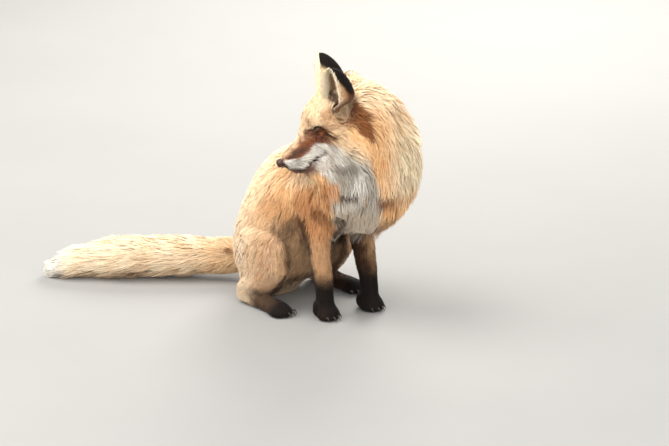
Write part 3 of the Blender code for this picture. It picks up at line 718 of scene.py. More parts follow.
def turned_out(obj, middle=None):
    """Points the faces out: all the same way round, and away from the middle where one is given."""
    work = bmesh.new()
    work.from_mesh(obj.data)
    bmesh.ops.recalc_face_normals(work, faces=work.faces)
    if middle is not None:
        outward = sum((face.calc_center_median() - Vector(middle)).dot(face.normal) for face in work.faces)
        if outward < 0:
            bmesh.ops.reverse_faces(work, faces=work.faces)
    work.to_mesh(obj.data)
    work.free()
    obj.data.shade_smooth()


def head_piece(name, points, faces, material_name, slot, tone=None, middle=None):
    """A piece of the head, from points in the head's axes, with the colours of its points if it has any."""
    obj = built(name, from_head(points), faces, material_name, slot)
    turned_out(obj, middle)
    if tone is not None:
        attribute(obj.data, "fur_colour", "FLOAT_COLOR", tone)
    return obj


def attribute(mesh, name, kind, values):
    """Stores one value for each vertex."""
    made = mesh.attributes.new(name, kind, "POINT")
    field = {"FLOAT": "value", "FLOAT_VECTOR": "vector", "FLOAT_COLOR": "color"}[kind]
    if kind == "FLOAT_COLOR":
        values = np.column_stack((values, np.ones(len(values))))
    made.data.foreach_set(field, np.ascontiguousarray(values, np.float32).ravel())


def settled(obj):
    """The object with its modifiers made real."""
    graph = bpy.context.evaluated_depsgraph_get()
    mesh = bpy.data.meshes.new_from_object(obj.evaluated_get(graph))
    obj.modifiers.clear()
    obj.data = mesh
    return obj


def remeshed(obj, grain, smoothing):
    """The object as one closed surface of even faces, smoothed."""
    step = obj.modifiers.new("fuse", "REMESH")
    step.mode = "VOXEL"
    step.voxel_size = grain
    soften = obj.modifiers.new("soften", "SMOOTH")
    soften.factor = 0.5
    soften.iterations = smoothing
    return settled(obj)


def turns(around):
    """Angles all the way round, a step apart."""
    return np.arange(around) * 2 * math.pi / around


def globe(polar, turn, pole, first, second):
    """Directions on a sphere: cos(polar) along the pole, and sin(polar) across it, round from the first of
    two axes to the second. Each polar angle is a ring, and the poles come after the rings."""
    flat = np.cos(turn)[None, :, None] * first + np.sin(turn)[None, :, None] * second
    ways = np.cos(polar)[:, None, None] * pole + np.sin(polar)[:, None, None] * flat
    return np.vstack((ways.reshape(-1, 3), pole, -pole))


def tube_faces(rings, around, closed_ends=True):
    """Corners and sizes of a tube of rings, and of a fan at each end to a pole after the rings' points."""
    i, j = np.meshgrid(np.arange(rings - 1), np.arange(around), indexing="ij")
    k = (j + 1) % around
    quads = np.stack((i * around + j, i * around + k, (i + 1) * around + k, (i + 1) * around + j), -1)
    corners, sizes = [quads.ravel()], [np.full(quads[..., 0].size, 4)]
    if closed_ends:
        j = np.arange(around)
        k = (j + 1) % around
        first, last = rings * around, rings * around + 1
        start = np.stack((np.full(around, first), k, j), -1)
        finish = np.stack((np.full(around, last), (rings - 1) * around + j, (rings - 1) * around + k), -1)
        corners += [start.ravel(), finish.ravel()]
        sizes += [np.full(around, 3), np.full(around, 3)]
    return np.concatenate(corners), np.concatenate(sizes)


def tube(centres, radii, around, sideways):
    """Points of a tube: a circle of each radius about each centre, across the path, and its two poles."""
    tangent = unit(np.gradient(centres, axis=0))
    across = unit(sideways - tangent * (tangent @ sideways)[:, None])
    above = np.cross(tangent, across)
    angle = turns(around)[None, :, None]
    ring = across[:, None] * np.cos(angle) + above[:, None] * np.sin(angle)
    points = centres[:, None] + ring * np.asarray(radii)[:, None, None]
    return np.vstack((points.reshape(-1, 3), centres[:1], centres[-1:]))


def many(shapes):
    """Points and faces of several shapes as one run."""
    points, corners, sizes, before = [], [], [], 0
    for shape_points, (shape_corners, shape_sizes) in shapes:
        points.append(shape_points)
        corners.append(shape_corners + before)
        sizes.append(shape_sizes)
        before += len(shape_points)
    return np.vstack(points), (np.concatenate(corners), np.concatenate(sizes))


# --- Materials ------------------------------------------------------------------------------------------
def node(tree, kind, settings=None, **links):
    """Adds a node, sets its fields and inputs, and links the given sockets into its inputs."""
    made = tree.nodes.new(kind)
    for name, value in (settings or {}).items():
        if hasattr(made, name):
            setattr(made, name, value)
        else:
            made.inputs[name].default_value = value
    for name, source in links.items():
        target = name[1:] if name[0] == "i" and name[1:].isdigit() else name.replace("_", " ")
        socket = made.inputs[int(target)] if target.isdigit() else made.inputs[target]
        tree.links.new(source, socket)
    return made


def material(name, colour=None, **settings):
    """A new material with its shader's constant inputs set. Returns its tree, its shader and the socket of
    its colour: the one that is given, or else the piece's own attribute fur_colour."""
    made = bpy.data.materials.new(name)
    made.use_nodes = True
    tree = made.node_tree
    shader = tree.nodes["Principled BSDF"]
    for key, value in settings.items():
        shader.inputs[key.replace("_", " ")].default_value = value
    if colour is None:
        source = node(tree, "ShaderNodeAttribute", {"attribute_name": "fur_colour"})
        return tree, shader, source.outputs["Color"]
    base = node(tree, "ShaderNodeRGB").outputs[0]
    base.default_value = (*colour, 1)
    return tree, shader, base


def varied(tree, shader, colour, size, amount):
    """Gives the shader the colour, made lighter and darker by soft noise whose grains are about size long."""
    where = node(tree, "ShaderNodeTexCoord").outputs["Object"]
    noise = node(tree, "ShaderNodeTexNoise", {"Scale": 1 / size, "Detail": 3.0}, Vector=where)
    spread = {"From Min": 0.3, "From Max": 0.7, "To Min": 1 - amount, "To Max": 1 + amount}
    factor = node(tree, "ShaderNodeMapRange", spread, Value=noise.outputs["Fac"])
    scaled = node(tree, "ShaderNodeVectorMath", {"operation": "SCALE"}, i0=colour, Scale=factor.outputs[0])
    tree.links.new(scaled.outputs[0], shader.inputs["Base Color"])


def grained(tree, shader, size, strength, depth):
    """Presses a grain of noise about size wide into the surface."""
    where = node(tree, "ShaderNodeTexCoord").outputs["Object"]
    noise = node(tree, "ShaderNodeTexNoise", {"Scale": 1 / size, "Detail": 2.0}, Vector=where)
    settings = {"Strength": strength, "Distance": depth}
    bump = node(tree, "ShaderNodeBump", settings, Height=noise.outputs["Fac"])
    tree.links.new(bump.outputs[0], shader.inputs["Normal"])


def guard_hair():
    """Guard hair: dry keratin, matt and a little bright at grazing angles, darker down at the roots."""
    sheen = {"Sheen_Weight": 0.12, "Sheen_Roughness": 0.45}
    tree, shader, colour = material("guard_hair", Roughness=0.75, IOR=1.45, Specular_IOR_Level=0.12, **sheen)
    along = node(tree, "ShaderNodeAttribute", {"attribute_name": "along"}).outputs["Fac"]
    shade = node(tree, "ShaderNodeValToRGB", Fac=along)
    stops = shade.color_ramp.elements
    stops[0].position, stops[0].color = 0.0, (0.82, 0.78, 0.75, 1)
    stops[1].position, stops[1].color = 1.0, (1.06, 1.06, 1.06, 1)
    stops.new(0.45).color = (0.97, 0.96, 0.95, 1)
    lit = node(tree, "ShaderNodeVectorMath", {"operation": "MULTIPLY"}, i0=colour, i1=shade.outputs[0])
    varied(tree, shader, lit.outputs[0], 4 * MM, 0.10)


def under_fur():
    """Woolly under fur over the skin: no shine, with grains of hair about 1 mm thick pressed into it."""
    tree, shader, colour = material("under_fur", Roughness=0.9, IOR=1.45, Specular_IOR_Level=0.10)
    darker = node(tree, "ShaderNodeVectorMath", {"operation": "SCALE", "Scale": 0.9}, i0=colour)
    varied(tree, shader, darker.outputs[0], 2.5 * MM, 0.22)
    grained(tree, shader, 1.2 * MM, 0.6, 0.6 * MM)


def ear_velvet():
    """The skin of the ears and the lids under very short velvet hair: matt, with a fine grain."""
    tree, shader, colour = material(
        "ear_velvet", Roughness=0.9, Sheen_Weight=0.06, IOR=1.45, Specular_IOR_Level=0.12
    )
    varied(tree, shader, colour, 2 * MM, 0.15)
    grained(tree, shader, 0.9 * MM, 0.5, 0.4 * MM)


def nose_leather(colour):
    """Moist bare nose skin: satin, with pebbles about 0.9 mm across."""
    tree, shader, base = material(
        "nose_leather", colour, Roughness=0.42, IOR=1.42, Coat_Weight=0.1, Coat_Roughness=0.25
    )
    varied(tree, shader, base, 3 * MM, 0.25)
    where = node(tree, "ShaderNodeTexCoord").outputs["Object"]
    pebbles = node(tree, "ShaderNodeTexVoronoi", {"Scale": 1 / (0.9 * MM)}, Vector=where)
    settings = {"Strength": 0.5, "Distance": 0.25 * MM, "invert": True}
    bump = node(tree, "ShaderNodeBump", settings, Height=pebbles.outputs["Distance"])
    tree.links.new(bump.outputs[0], shader.inputs["Normal"])


def bare_skin(name, colour, roughness, grain):
    """Bare dark skin or horn: satin, with soft uneven colour and a fine grain."""
    tree, shader, base = material(name, colour, Roughness=roughness, IOR=1.45)
    varied(tree, shader, base, grain * 3, 0.25)
    grained(tree, shader, grain, 0.3, 0.2 * MM)


def eye_amber():
    """The eye under its wet film: an amber iris with a slit pupil and a dark rim, glossy, a little uneven."""
    film = {"Coat_Weight": 0.5, "Coat_Roughness": 0.03}
    tree, shader, colour = material("eye_amber", Roughness=0.25, IOR=1.38, **film)
    varied(tree, shader, colour, 0.8 * MM, 0.25)


def studio_paint():
    """Matt emulsion paint on the studio's floor: no shine, almost even."""
    tree, shader, base = material("studio_paint", linear("#979693"), Roughness=0.9)
    varied(tree, shader, base, 0.4, 0.02)


# --- Tufts --------------------------------------------------------------------------------------------
TUFT_STEPS = np.array((0.0, 0.30, 0.62, 0.86))
TUFT_WIDTHS = np.array((0.70, 1.00, 0.78, 0.42))
PATCH = 0.003  # width of a tuft's place in the coat's map
FLOOR_GAP = 0.0006  # height of the lowest skin and hair over the floor
ROOT_DEPTH = 0.0006  # how far a tuft's root is set into the skin
LEAST_RISE = 0.0004  # what a tuft may always stand off the skin


def spread_roots(surface, wanted, density, seed):
    """Random places on a surface's triangles, as many in each as its area and density ask for. Returns
    place, normal and map place."""
    points, normals, triangles, patches = surface
    rng = np.random.default_rng(seed)
    a, b, c = (points[triangles[:, i]] for i in range(3))
    share = np.linalg.norm(np.cross(b - a, c - a), axis=1) * density[triangles].mean(1)
    edges = np.cumsum(share) / share.sum()
    chosen = np.searchsorted(edges, (np.arange(wanted) + rng.random(wanted)) / wanted)
    chosen = np.minimum(chosen, len(triangles) - 1)
    u, v = rng.random(wanted), rng.random(wanted)
    over = u + v > 1
    u, v = np.where(over, 1 - u, u), np.where(over, 1 - v, v)
    weight = np.column_stack((1 - u - v, u, v))
    corner = triangles[chosen]
    place = np.einsum("ni,nij->nj", weight, points[corner])
    normal = unit(np.einsum("ni,nij->nj", weight, normals[corner]))
    return place, normal, np.einsum("ni,nij->nj", weight, patches[chosen])


def nearest_on(target, points):
    """The nearest place on the target's surface to each point."""
    mesh = bpy.data.meshes.new("probe")
    mesh.vertices.add(len(points))
    mesh.vertices.foreach_set("co", np.ascontiguousarray(points, np.float32).ravel())
    probe = bpy.data.objects.new("probe", mesh)
    bpy.context.scene.collection.objects.link(probe)
    wrap = probe.modifiers.new("nearest", "SHRINKWRAP")
    wrap.target = target
    wrap.wrap_method = "NEAREST_SURFACEPOINT"
    wrap.wrap_mode = "ON_SURFACE"
    settled(probe)
    found = np.empty(len(points) * 3, np.float32)
    probe.data.vertices.foreach_get("co", found)
    bpy.data.objects.remove(probe)
    return found.reshape(-1, 3).astype(float)


class Tufts:
    """Tapered ribbons planted on a surface. Each leaves the skin at its root, rises to its height as
    1 - (1 - s)^1.7 and runs along the lie as s^1.1, with a bend to one side and a random roll."""

    def __init__(self, surface, place, normal, lie, length, height, width, patch, seed, droop=0.0):
        rng = np.random.default_rng(seed)
        count = len(place)
        self.width, self.patch = width, patch
        self.normal = normal
        self.along = unit(lie - normal * (lie * normal).sum(1)[:, None])
        across = np.cross(normal, self.along)
        roll = rng.normal(0, 0.5, count)[:, None]
        self.side = across * np.cos(roll) + normal * np.sin(roll)
        bend = rng.normal(0, 0.10, count)
        s = np.append(TUFT_STEPS, 1.0)[None, :]
        run = s**1.1 * length[:, None]
        rise = (1 - (1 - s) ** 1.7) * height[:, None]
        sway = s**2 * (bend * length)[:, None]
        centre = place[:, None] + self.along[:, None] * run[..., None] + normal[:, None] * rise[..., None]
        centre = centre + across[:, None] * sway[..., None]
        centre[..., 2] -= np.reshape(droop, (-1, 1)) * s**2 * length[:, None]
        # Nothing stands further off the surface than its height: the tufts follow the form.
        near = nearest_on(surface, centre[:, 1:].reshape(-1, 3)).reshape(count, -1, 3)
        away = centre[:, 1:] - near
        reach = np.linalg.norm(away, axis=2)
        over = np.minimum(1, np.maximum(rise[:, 1:], LEAST_RISE) / np.maximum(reach, 1e-6))
        centre[:, 1:] = near + away * over[..., None]
        centre[:, 0] -= normal * ROOT_DEPTH
        self.centre = centre

    def seen_at(self):
        """The place by which each tuft takes its colour: well along it, where it shows."""
        return self.centre[:, 2]

    def piece(self, name, slot, colour, chosen=slice(None)):
        """One mesh of the chosen tufts."""
        centre, side, normal = self.centre[chosen], self.side[chosen], self.normal[chosen]
        count, steps = len(centre), len(TUFT_STEPS)
        half = TUFT_WIDTHS[None, :] * self.width[chosen][:, None] / 2
        left = centre[:, :steps] - side[:, None] * half[..., None]
        right = centre[:, :steps] + side[:, None] * half[..., None]
        rows = np.stack((left, right), 2).reshape(count, 2 * steps, 3)
        points = np.concatenate((rows, centre[:, -1:]), 1)
        points[..., 2] = np.maximum(points[..., 2], FLOOR_GAP)
        per = 2 * steps + 1
        row = np.arange(steps - 1) * 2
        quads = np.stack((row, row + 2, row + 3, row + 1), -1).ravel()
        pattern = np.concatenate((quads, [2 * steps - 2, 2 * steps, 2 * steps - 1]))
        corners = (np.arange(count)[:, None] * per + pattern[None]).ravel()
        sizes = np.tile(np.append(np.full(steps - 1, 4), 3), count)
        mesh = built(name, points.reshape(-1, 3), (corners, sizes), "guard_hair", slot).data
        attribute(mesh, "fur_colour", "FLOAT_COLOR", np.repeat(colour[chosen], per, axis=0))
        steps_of = np.append(np.repeat(TUFT_STEPS, 2), 1.0)
        attribute(mesh, "along", "FLOAT", np.tile(steps_of, count))
        lean = unit(normal * 0.8 + np.cross(self.along[chosen], side) * 0.3)
        attribute(mesh, "custom_normal", "FLOAT_VECTOR", np.repeat(lean, per, axis=0))
        spot = np.column_stack((np.append(np.tile((0.0, 1.0), steps), 0.5), steps_of)) * PATCH - PATCH / 2
        layer = mesh.uv_layers.new(name="OFBake")
        places = np.clip(self.patch[chosen], PATCH / 2, 1 - PATCH / 2)[:, None] + spot[None]
        layer.uv.foreach_set("vector", places.reshape(-1, 2)[corners].astype(np.float32).ravel())


# --- Operators ------------------------------------------------------------------------------------------
class FOX_OT_materials(bpy.types.Operator):
    """Makes the materials of the fox"""

    bl_idname = "fox.materials"
    bl_label = "Materials"

    def execute(self, context):
        colours = context.scene.fox_colours
        guard_hair()
        under_fur()
        ear_velvet()
        eye_amber()
        nose_leather(colours.nose)
        bare_skin("lip_skin", linear("#2B1D17"), 0.45, 0.8 * MM)
        bare_skin("claw_horn", linear("#3A3029"), 0.35, 1.0 * MM)
        bare_skin("whisker_hair", linear("#1A1412"), 0.40, 1.0 * MM)
        studio_paint()
        return {"FINISHED"}


class FOX_OT_skin(bpy.types.Operator):
    """Makes the skin, inside the solids by the coat's depth, in place of the nodes of flesh"""

    bl_idname = "fox.skin"
    bl_label = "Skin"

    FUSING_GRAIN = 0.0030  # length of a face while the solids are fused
    # Rounds of smoothing before the coat's depth is taken off, and after it.
    FUSED_SMOOTHING, SKIN_SMOOTHING = 10, 8

    def execute(self, context):
        sizes, colours = context.scene.fox_sizes, context.scene.fox_colours
        work = bmesh.new()
        for name in FLESH:
            work.from_mesh(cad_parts[name].data)
        bmesh.ops.remove_doubles(work, verts=work.verts, dist=0.00002)
        mesh = bpy.data.meshes.new("skin")
        work.to_mesh(mesh)
        work.free()
        mesh.materials.clear()
        skin = placed("skin", mesh, "under_fur")
        remeshed(skin, self.FUSING_GRAIN, self.FUSED_SMOOTHING)
        points, normals, _, _ = read(skin.data)
        deeper = sum(blob(points, middle, reach) * more for middle, reach, more in SLIMMER)
        depth = coat_at(points)[1] + deeper
        write(skin.data, points - normals * depth[:, None])
        remeshed(skin, sizes.skin_grain, self.SKIN_SMOOTHING)
        points, normals, _, _ = read(skin.data)
        points = self.with_face(points, normals)
        points[:, 2] = np.maximum(points[:, 2], FLOOR_GAP)
        write(skin.data, points)
        skin.data.shade_smooth()
        skin.data.materials.clear()
        skin.data.materials.append(bpy.data.materials["under_fur"])
        _, normals, _, _ = read(skin.data)
        outer = points + normals * coat_at(points)[1][:, None]
        attribute(skin.data, "fur_colour", "FLOAT_COLOR", coat_colours(outer, colours))
        self.unwrap(context, skin)
        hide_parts(*FLESH)
        return {"FINISHED"}

    def with_face(self, points, normals):
        """The skin with the hollows of the eyes, the line of the mouth and the folds of the face."""
        flat = folded(to_head(points))
        x, z = flat[:, 0], flat[:, 2]
        mouth = 1 - ramp(np.abs(z - line_at(x, MOUTH_LINE)), 0.0, 0.0035)
        push = -0.0016 * mouth * ramp(x, -0.088, -0.080)
        push += 0.0014 * blob(flat, (-0.030, 0.016, -0.010), (0.020, 0.012, 0.009))  # the whiskers' pad
        push += 0.0012 * blob(flat, (-0.098, 0.034, 0.045), (0.022, 0.016, 0.009))  # the brow
        push[(np.abs(flat) > 0.2).any(1)] = 0
        points = points + normals * push[:, None]
        # Round the slit the skin goes behind the eyeball's front. Elsewhere it stays clear of the eyeball.
        head = to_head(points)
        for side in SIDES.values():
            away = head - EYE_AT * (1, side, 1)
            reach = np.linalg.norm(away, axis=1)
            clear = np.maximum(reach, EYE_RADIUS + 0.0007)
            behind = np.minimum(reach, EYE_RADIUS - 0.0015)
            target = clear + (behind - clear) * ramp(slit_distance(head, side), 1.25, 0.85)
            near = ramp(reach, 0.018, 0.014)
            head = head + unit(away) * ((target - reach) * near)[:, None]
        return from_head(head)

    def unwrap(self, context, skin):
        """Unwraps the skin's own shape into islands, on the map that the coat's patches share."""
        for obj in context.selected_objects:
            obj.select_set(False)
        context.view_layer.objects.active = skin
        skin.select_set(True)
        skin.data.uv_layers.new(name="OFBake")
        bpy.ops.object.mode_set(mode="EDIT")
        bpy.ops.mesh.select_all(action="SELECT")
        bpy.ops.uv.smart_project(angle_limit=math.radians(66), island_margin=0.004)
        bpy.ops.object.mode_set(mode="OBJECT")


class FOX_OT_coat(bpy.types.Operator):
    """Plants the coat on the skin, region by region"""

    bl_idname = "fox.coat"
    bl_label = "Coat"

    # How many tufts lie over each other, by region.
    LAYERS = {"head": 5.5, "ruff": 14.0, "back": 13.0, "haunch": 11.0, "tail": 16.0, "tail_tip": 12.0}
    OTHER_LAYERS = 6.0
    HANGING = ("ruff", "back", "haunch")  # where the hair is long enough to hang
    DROOP = 0.05
    MOST = 27000  # tufts in one piece, which keeps it under 200,000 triangles
    FEWER, WIDER = ((1, 1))  # the count of tufts is divided by FEWER and their width multiplied by WIDER

    def execute(self, context):
        sizes, colours = context.scene.fox_sizes, context.scene.fox_colours
        mesh = bpy.data.objects["skin"].data
        points, normals, triangles, corners = read(mesh)
        uv = np.empty(len(mesh.loops) * 2, np.float32)
        mesh.uv_layers["OFBake"].uv.foreach_get("vector", uv)
        patches = uv.reshape(-1, 2)[corners].astype(float)
        _, _, hair, region, _ = coat_at(points)
        layers = np.array([self.LAYERS.get(name, self.OTHER_LAYERS) for name in REGION_NAMES])[region]
        density = layers / (hair * self.width(hair, sizes)) * self.bare(points)
        surface = points, normals, triangles, patches
        place, normal, patch = spread_roots(surface, sizes.tufts // self.FEWER, density, 11)
        lie, depth, hair, region, _ = coat_at(place)
        rng = np.random.default_rng(12)
        count = len(place)
        stray = np.column_stack([waves(place, 0.035, 41 + axis) for axis in range(3)]) * 0.22
        stray += np.column_stack([waves(place, 0.012, 51 + axis) for axis in range(3)]) * 0.12
        lie = unit(lie + stray + rng.normal(0, 0.10, (count, 3)))
        lie = self.round_eyes(place, lie)
        length = hair * rng.uniform(0.70, 1.10, count)
        height = depth * rng.uniform(0.55, 1.0, count) ** 0.7
        width = self.width(hair, sizes) * rng.uniform(0.75, 1.25, count) * self.WIDER
        droop = np.isin(region, [REGION_NAMES.index(name) for name in self.HANGING]) * self.DROOP
        tufts = Tufts(bpy.data.objects["skin"], place, normal, lie, length, height, width, patch, 13, droop)
        light = 1 + rng.normal(0, 0.06, (count, 1))
        colour = np.clip(coat_colours(tufts.seen_at(), colours, 0.0012, 14) * light, 0, 1)
        for index, name in enumerate(REGION_NAMES):
            members = np.flatnonzero(region == index)
            pieces = max(1, math.ceil(len(members) / self.MOST))
            for part, chosen in enumerate(np.array_split(members, pieces)):
                if len(chosen):
                    tufts.piece(f"coat_{name}_{part + 1}", REGION_SLOTS[name], colour, chosen)
        return {"FINISHED"}

    def width(self, hair, sizes):
        """Tufts widen with the length of the hair, from the fine ones of the face to the body's."""
        share = ramp(hair, 0.006, 0.034)
        return sizes.fine_width + (sizes.tuft_width - sizes.fine_width) * share

    def bare(self, points):
        """0 where no hair grows: on the nose, between the lids and next to the floor. 1 elsewhere."""
        head = to_head(points)
        eye = ramp(slit_distance(folded(head), 1), 0.95, 1.15)
        nose = ramp(np.linalg.norm(head - (-0.006, 0, -0.003), axis=1), 0.0095, 0.0115)
        return eye * nose * ramp(points[:, 2], 0.001, 0.004) + 1e-6

    def round_eyes(self, place, lie):
        """The lie turned away from the eyes close to them, so that no hair crosses the lids."""
        head = to_head(place)
        for side in SIDES.values():
            away = head - EYE_AT * (1, side, 1) - unit(EYE_GAZE * (1, side, 1)) * EYE_RADIUS
            near = ramp(slit_distance(head, side), 1.9, 1.1)[:, None]
            lie = lie * (1 - 0.7 * near) + unit(away) @ HEAD_TURN.T * 0.7 * near
        return unit(lie)


class FOX_OT_ears(bpy.types.Operator):
    """Makes the ears with the velvet on their backs, their rims and the pale hair inside them"""

    bl_idname = "fox.ears"
    bl_label = "Ears"

    TURNS = 17  # points across an ear
    ROOT, SHOULDER, TOP = -0.13, 0.80, 0.985  # heights in lengths of the ear: its root and its rounded end
    HAIR_WIDTH = 0.0010
    FEWER, WIDER = ((1, 1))

    def execute(self, context):
        colours = context.scene.fox_colours
        for which, side in SIDES.items():
            self.ear(which, side, colours)
        return {"FINISHED"}

    def shape(self, side):
        """A cupped leaf: half an ellipse across the ear, drawn back by the cup, whose width follows
        (1 - s^2.6)^0.62 and whose depth follows (1 - s^2)^0.6 up the ear. Both narrow towards the root.
        Returns the points of the back and of the hollow as two grids, with their heights and turns."""
        base, tip, facing = (each * (1, side, 1) for each in (EAR_BASE, EAR_TIP, EAR_FACING))
        axis, length = unit(tip - base), np.linalg.norm(tip - base)
        facing = unit(facing - axis * (facing @ axis))
        across = np.cross(axis, facing)
        leaf = np.linspace(self.ROOT, self.SHOULDER, 18, endpoint=False)
        s = np.concatenate((leaf, np.linspace(self.SHOULDER, self.TOP, 8)))
        up = np.maximum(s, 0)
        root = 1 - np.minimum(up / 0.3, 1)
        width = EAR_HALF_WIDTH * (1 - 0.42 * root**2) * (1 - up**2.6) ** 0.62
        cup = EAR_CUP * (1 - up**2) ** 0.6 * (1 - 0.55 * root**2) + 0.002
        turn = np.linspace(-math.pi / 2, math.pi / 2, self.TURNS)
        centre = base + axis * (length * s)[:, None] - across * side * (0.014 * root**2)[:, None]
        grids = []
        for inset in (0.0, EAR_WALL):
            wide = np.maximum(width - 0.45 * inset, 0.0004)
            deep = np.maximum(cup - inset, 0.0004)
            grid = centre[:, None] + across * (wide[:, None] * np.sin(turn))[..., None]
            grids.append(grid - facing * (deep[:, None] * np.cos(turn))[..., None])
        return grids, s, turn, (axis, across * side, facing)

    def ear(self, which, side, colours):
        (back, hollow), s, turn, axes = self.shape(side)
        ring = np.concatenate((back, hollow[:, ::-1]), 1)
        around = ring.shape[1]
        ends = np.array((ring[0].mean(0), ring[-1].mean(0)))
        points = np.vstack((ring.reshape(-1, 3), ends))
        outer = np.append(np.tile(np.arange(around) < self.TURNS, len(s)), (True, True))
        height = np.append(np.repeat(s, around), (s[0], s[-1]))
        # From -1 at the inner edge to 1 at the outer one.
        lateral = np.tile(np.concatenate((turn, turn[::-1])), len(s)) * side / (math.pi / 2)
        lateral = np.append(lateral, (0, 0))
        tone = self.tones(height, lateral, outer, colours)
        faces = tube_faces(len(s), around)
        obj = head_piece(f"ear_{which}_skin", points, faces, "ear_velvet", "ear_coat", tone)
        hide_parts(f"ear_{which}")
        self.velvet(which, side, obj, (height, lateral, outer), colours, axes)

    def tones(self, height, lateral, outer, colours):
        """Black at the back above a line that rises towards both edges. Below it the outer half is rust,
        with the temple's gold at its edge and orange at the root, and the inner half is the forehead's
        cream. The rim is cream too, and the hollow brown with painted shade but for its inner edge and its
        tip."""
        black, rust, orange, temple, tear, forehead, cream = (
            np.array(getattr(colours, name))
            for name in ("black", "rust", "orange", "temple", "tear", "forehead", "ear_lining")
        )
        line = 0.34 + 0.50 * np.clip(-lateral, 0, 1) ** 1.2 + 0.50 * ramp(lateral, 0.50, 1.0)
        warm = (ramp(lateral, 0.60, 0.88) * ramp(height, 0.08, 0.24))[:, None]
        gold = rust + (temple - rust) * warm
        gold += ((orange + rust) * 0.5 - gold) * ramp(height, 0.32, 0.12)[:, None]
        below = np.where(lateral[:, None] > 0, gold, forehead)
        back = black + (below - black) * ramp(height - line, 0.05, -0.16)[:, None]
        # Painted shade: brown deep in the hollow where the opening goes in.
        deep = ramp(lateral, -0.90, -0.80) * ramp(height, 0.97, 0.85)
        hollow = cream + (tear * 0.6 + temple * 0.4 - cream) * deep[:, None]
        tone = np.where(outer[:, None], back, hollow)
        edge = np.abs(lateral)
        rim = np.where(outer, ramp(edge, 0.965, 0.995), ramp(edge, 0.90, 0.97)) * ramp(height, 0.99, 0.85)
        return tone + (cream - tone) * (rim * 0.9)[:, None]

    def velvet(self, which, side, ear, spots, colours, axes):
        """Short hair on the back that lies towards the tip, a fringe along the rim, and pale hair that
        springs from the inner edge and leans away from the hollow."""
        height, lateral, outer = spots
        axis, outward, facing = axes
        points, normals, triangles, _ = read(ear.data)
        places = np.column_stack((self.map_place(side, height, lateral, outer), height, lateral))
        surface = points, normals, triangles, places[triangles]
        grown = (height > -0.12) * 1.0
        rng = np.random.default_rng(21 + side)
        cream = np.array(colours.ear_lining)

        def plant(name, seed, wanted, density, high, long, lie_of, tone_of):
            """Plants one kind of hair, whose length, lie and colour are functions of height and lateral."""
            place, normal, own = spread_roots(surface, wanted // self.FEWER, density * grown, seed)
            patch, up, lateral = own[:, :2], own[:, 2], own[:, 3]
            lie = (lie_of(up, lateral[:, None]) + rng.normal(0, 0.10, (len(place), 3))) @ HEAD_TURN.T
            length = long(up, lateral) * rng.uniform(0.7, 1.15, len(place))
            width = np.full(len(place), self.HAIR_WIDTH * self.WIDER)
            tufts = Tufts(ear, place, normal, lie, length, length * high, width, patch, seed + 1)
            tone = tone_of(up, lateral) * (1 + rng.normal(0, 0.07, (len(place), 1)))
            tufts.piece(f"ear_{which}_{name}", "ear_coat", np.clip(tone, 0, 1))

        plant(
            "back_hair",
            seed=22,
            wanted=7500,
            density=outer * 1.0,
            high=0.16,
            long=lambda up, lateral: 0.007 + 0.008 * ramp(up, 0.35, 0.0),
            lie_of=lambda up, lateral: axis + 0 * lateral,
            tone_of=lambda up, lateral: self.tones(up + 0.05, lateral, np.ones(len(up), bool), colours),
        )
        plant(
            "rim_hair",
            seed=24,
            wanted=2400,
            density=ramp(np.abs(lateral), 0.93, 0.98) * (0.3 + 1.7 * (lateral < 0)),
            high=0.45,
            long=lambda up, lateral: 0.006 + 0.008 * (lateral < 0) * ramp(up, 0.95, 0.6),
            lie_of=lambda up, lateral: axis + np.sign(lateral) * outward * 0.10 + facing * 0.25,
            tone_of=lambda up, lateral: np.tile(cream, (len(up), 1)),
        )
        plant(
            "inner_hair",
            seed=26,
            wanted=3000,
            density=~outer * ramp(lateral, -0.90, -0.98) * ramp(height, 0.98, 0.90),
            high=0.15,
            long=lambda up, lateral: 0.012 + 0.003 * ramp(up, 0.9, 0.3),
            lie_of=lambda up, lateral: axis - 0.10 * facing - 0.35 * outward,
            tone_of=lambda up, lateral: cream * (0.90 + 0.15 * ramp(lateral, -0.90, -0.98))[:, None],
        )

    def map_place(self, side, height, lateral, outer):
        """A place on the map for each point of an ear: the ear laid out flat in a strip of its own."""
        u = 0.03 + 0.20 * (lateral * 0.25 + 0.25 + 0.5 * outer) + (0.5 if side < 0 else 0.0)
        return np.column_stack((u, 0.05 + 0.85 * np.clip(height, 0, 1)))


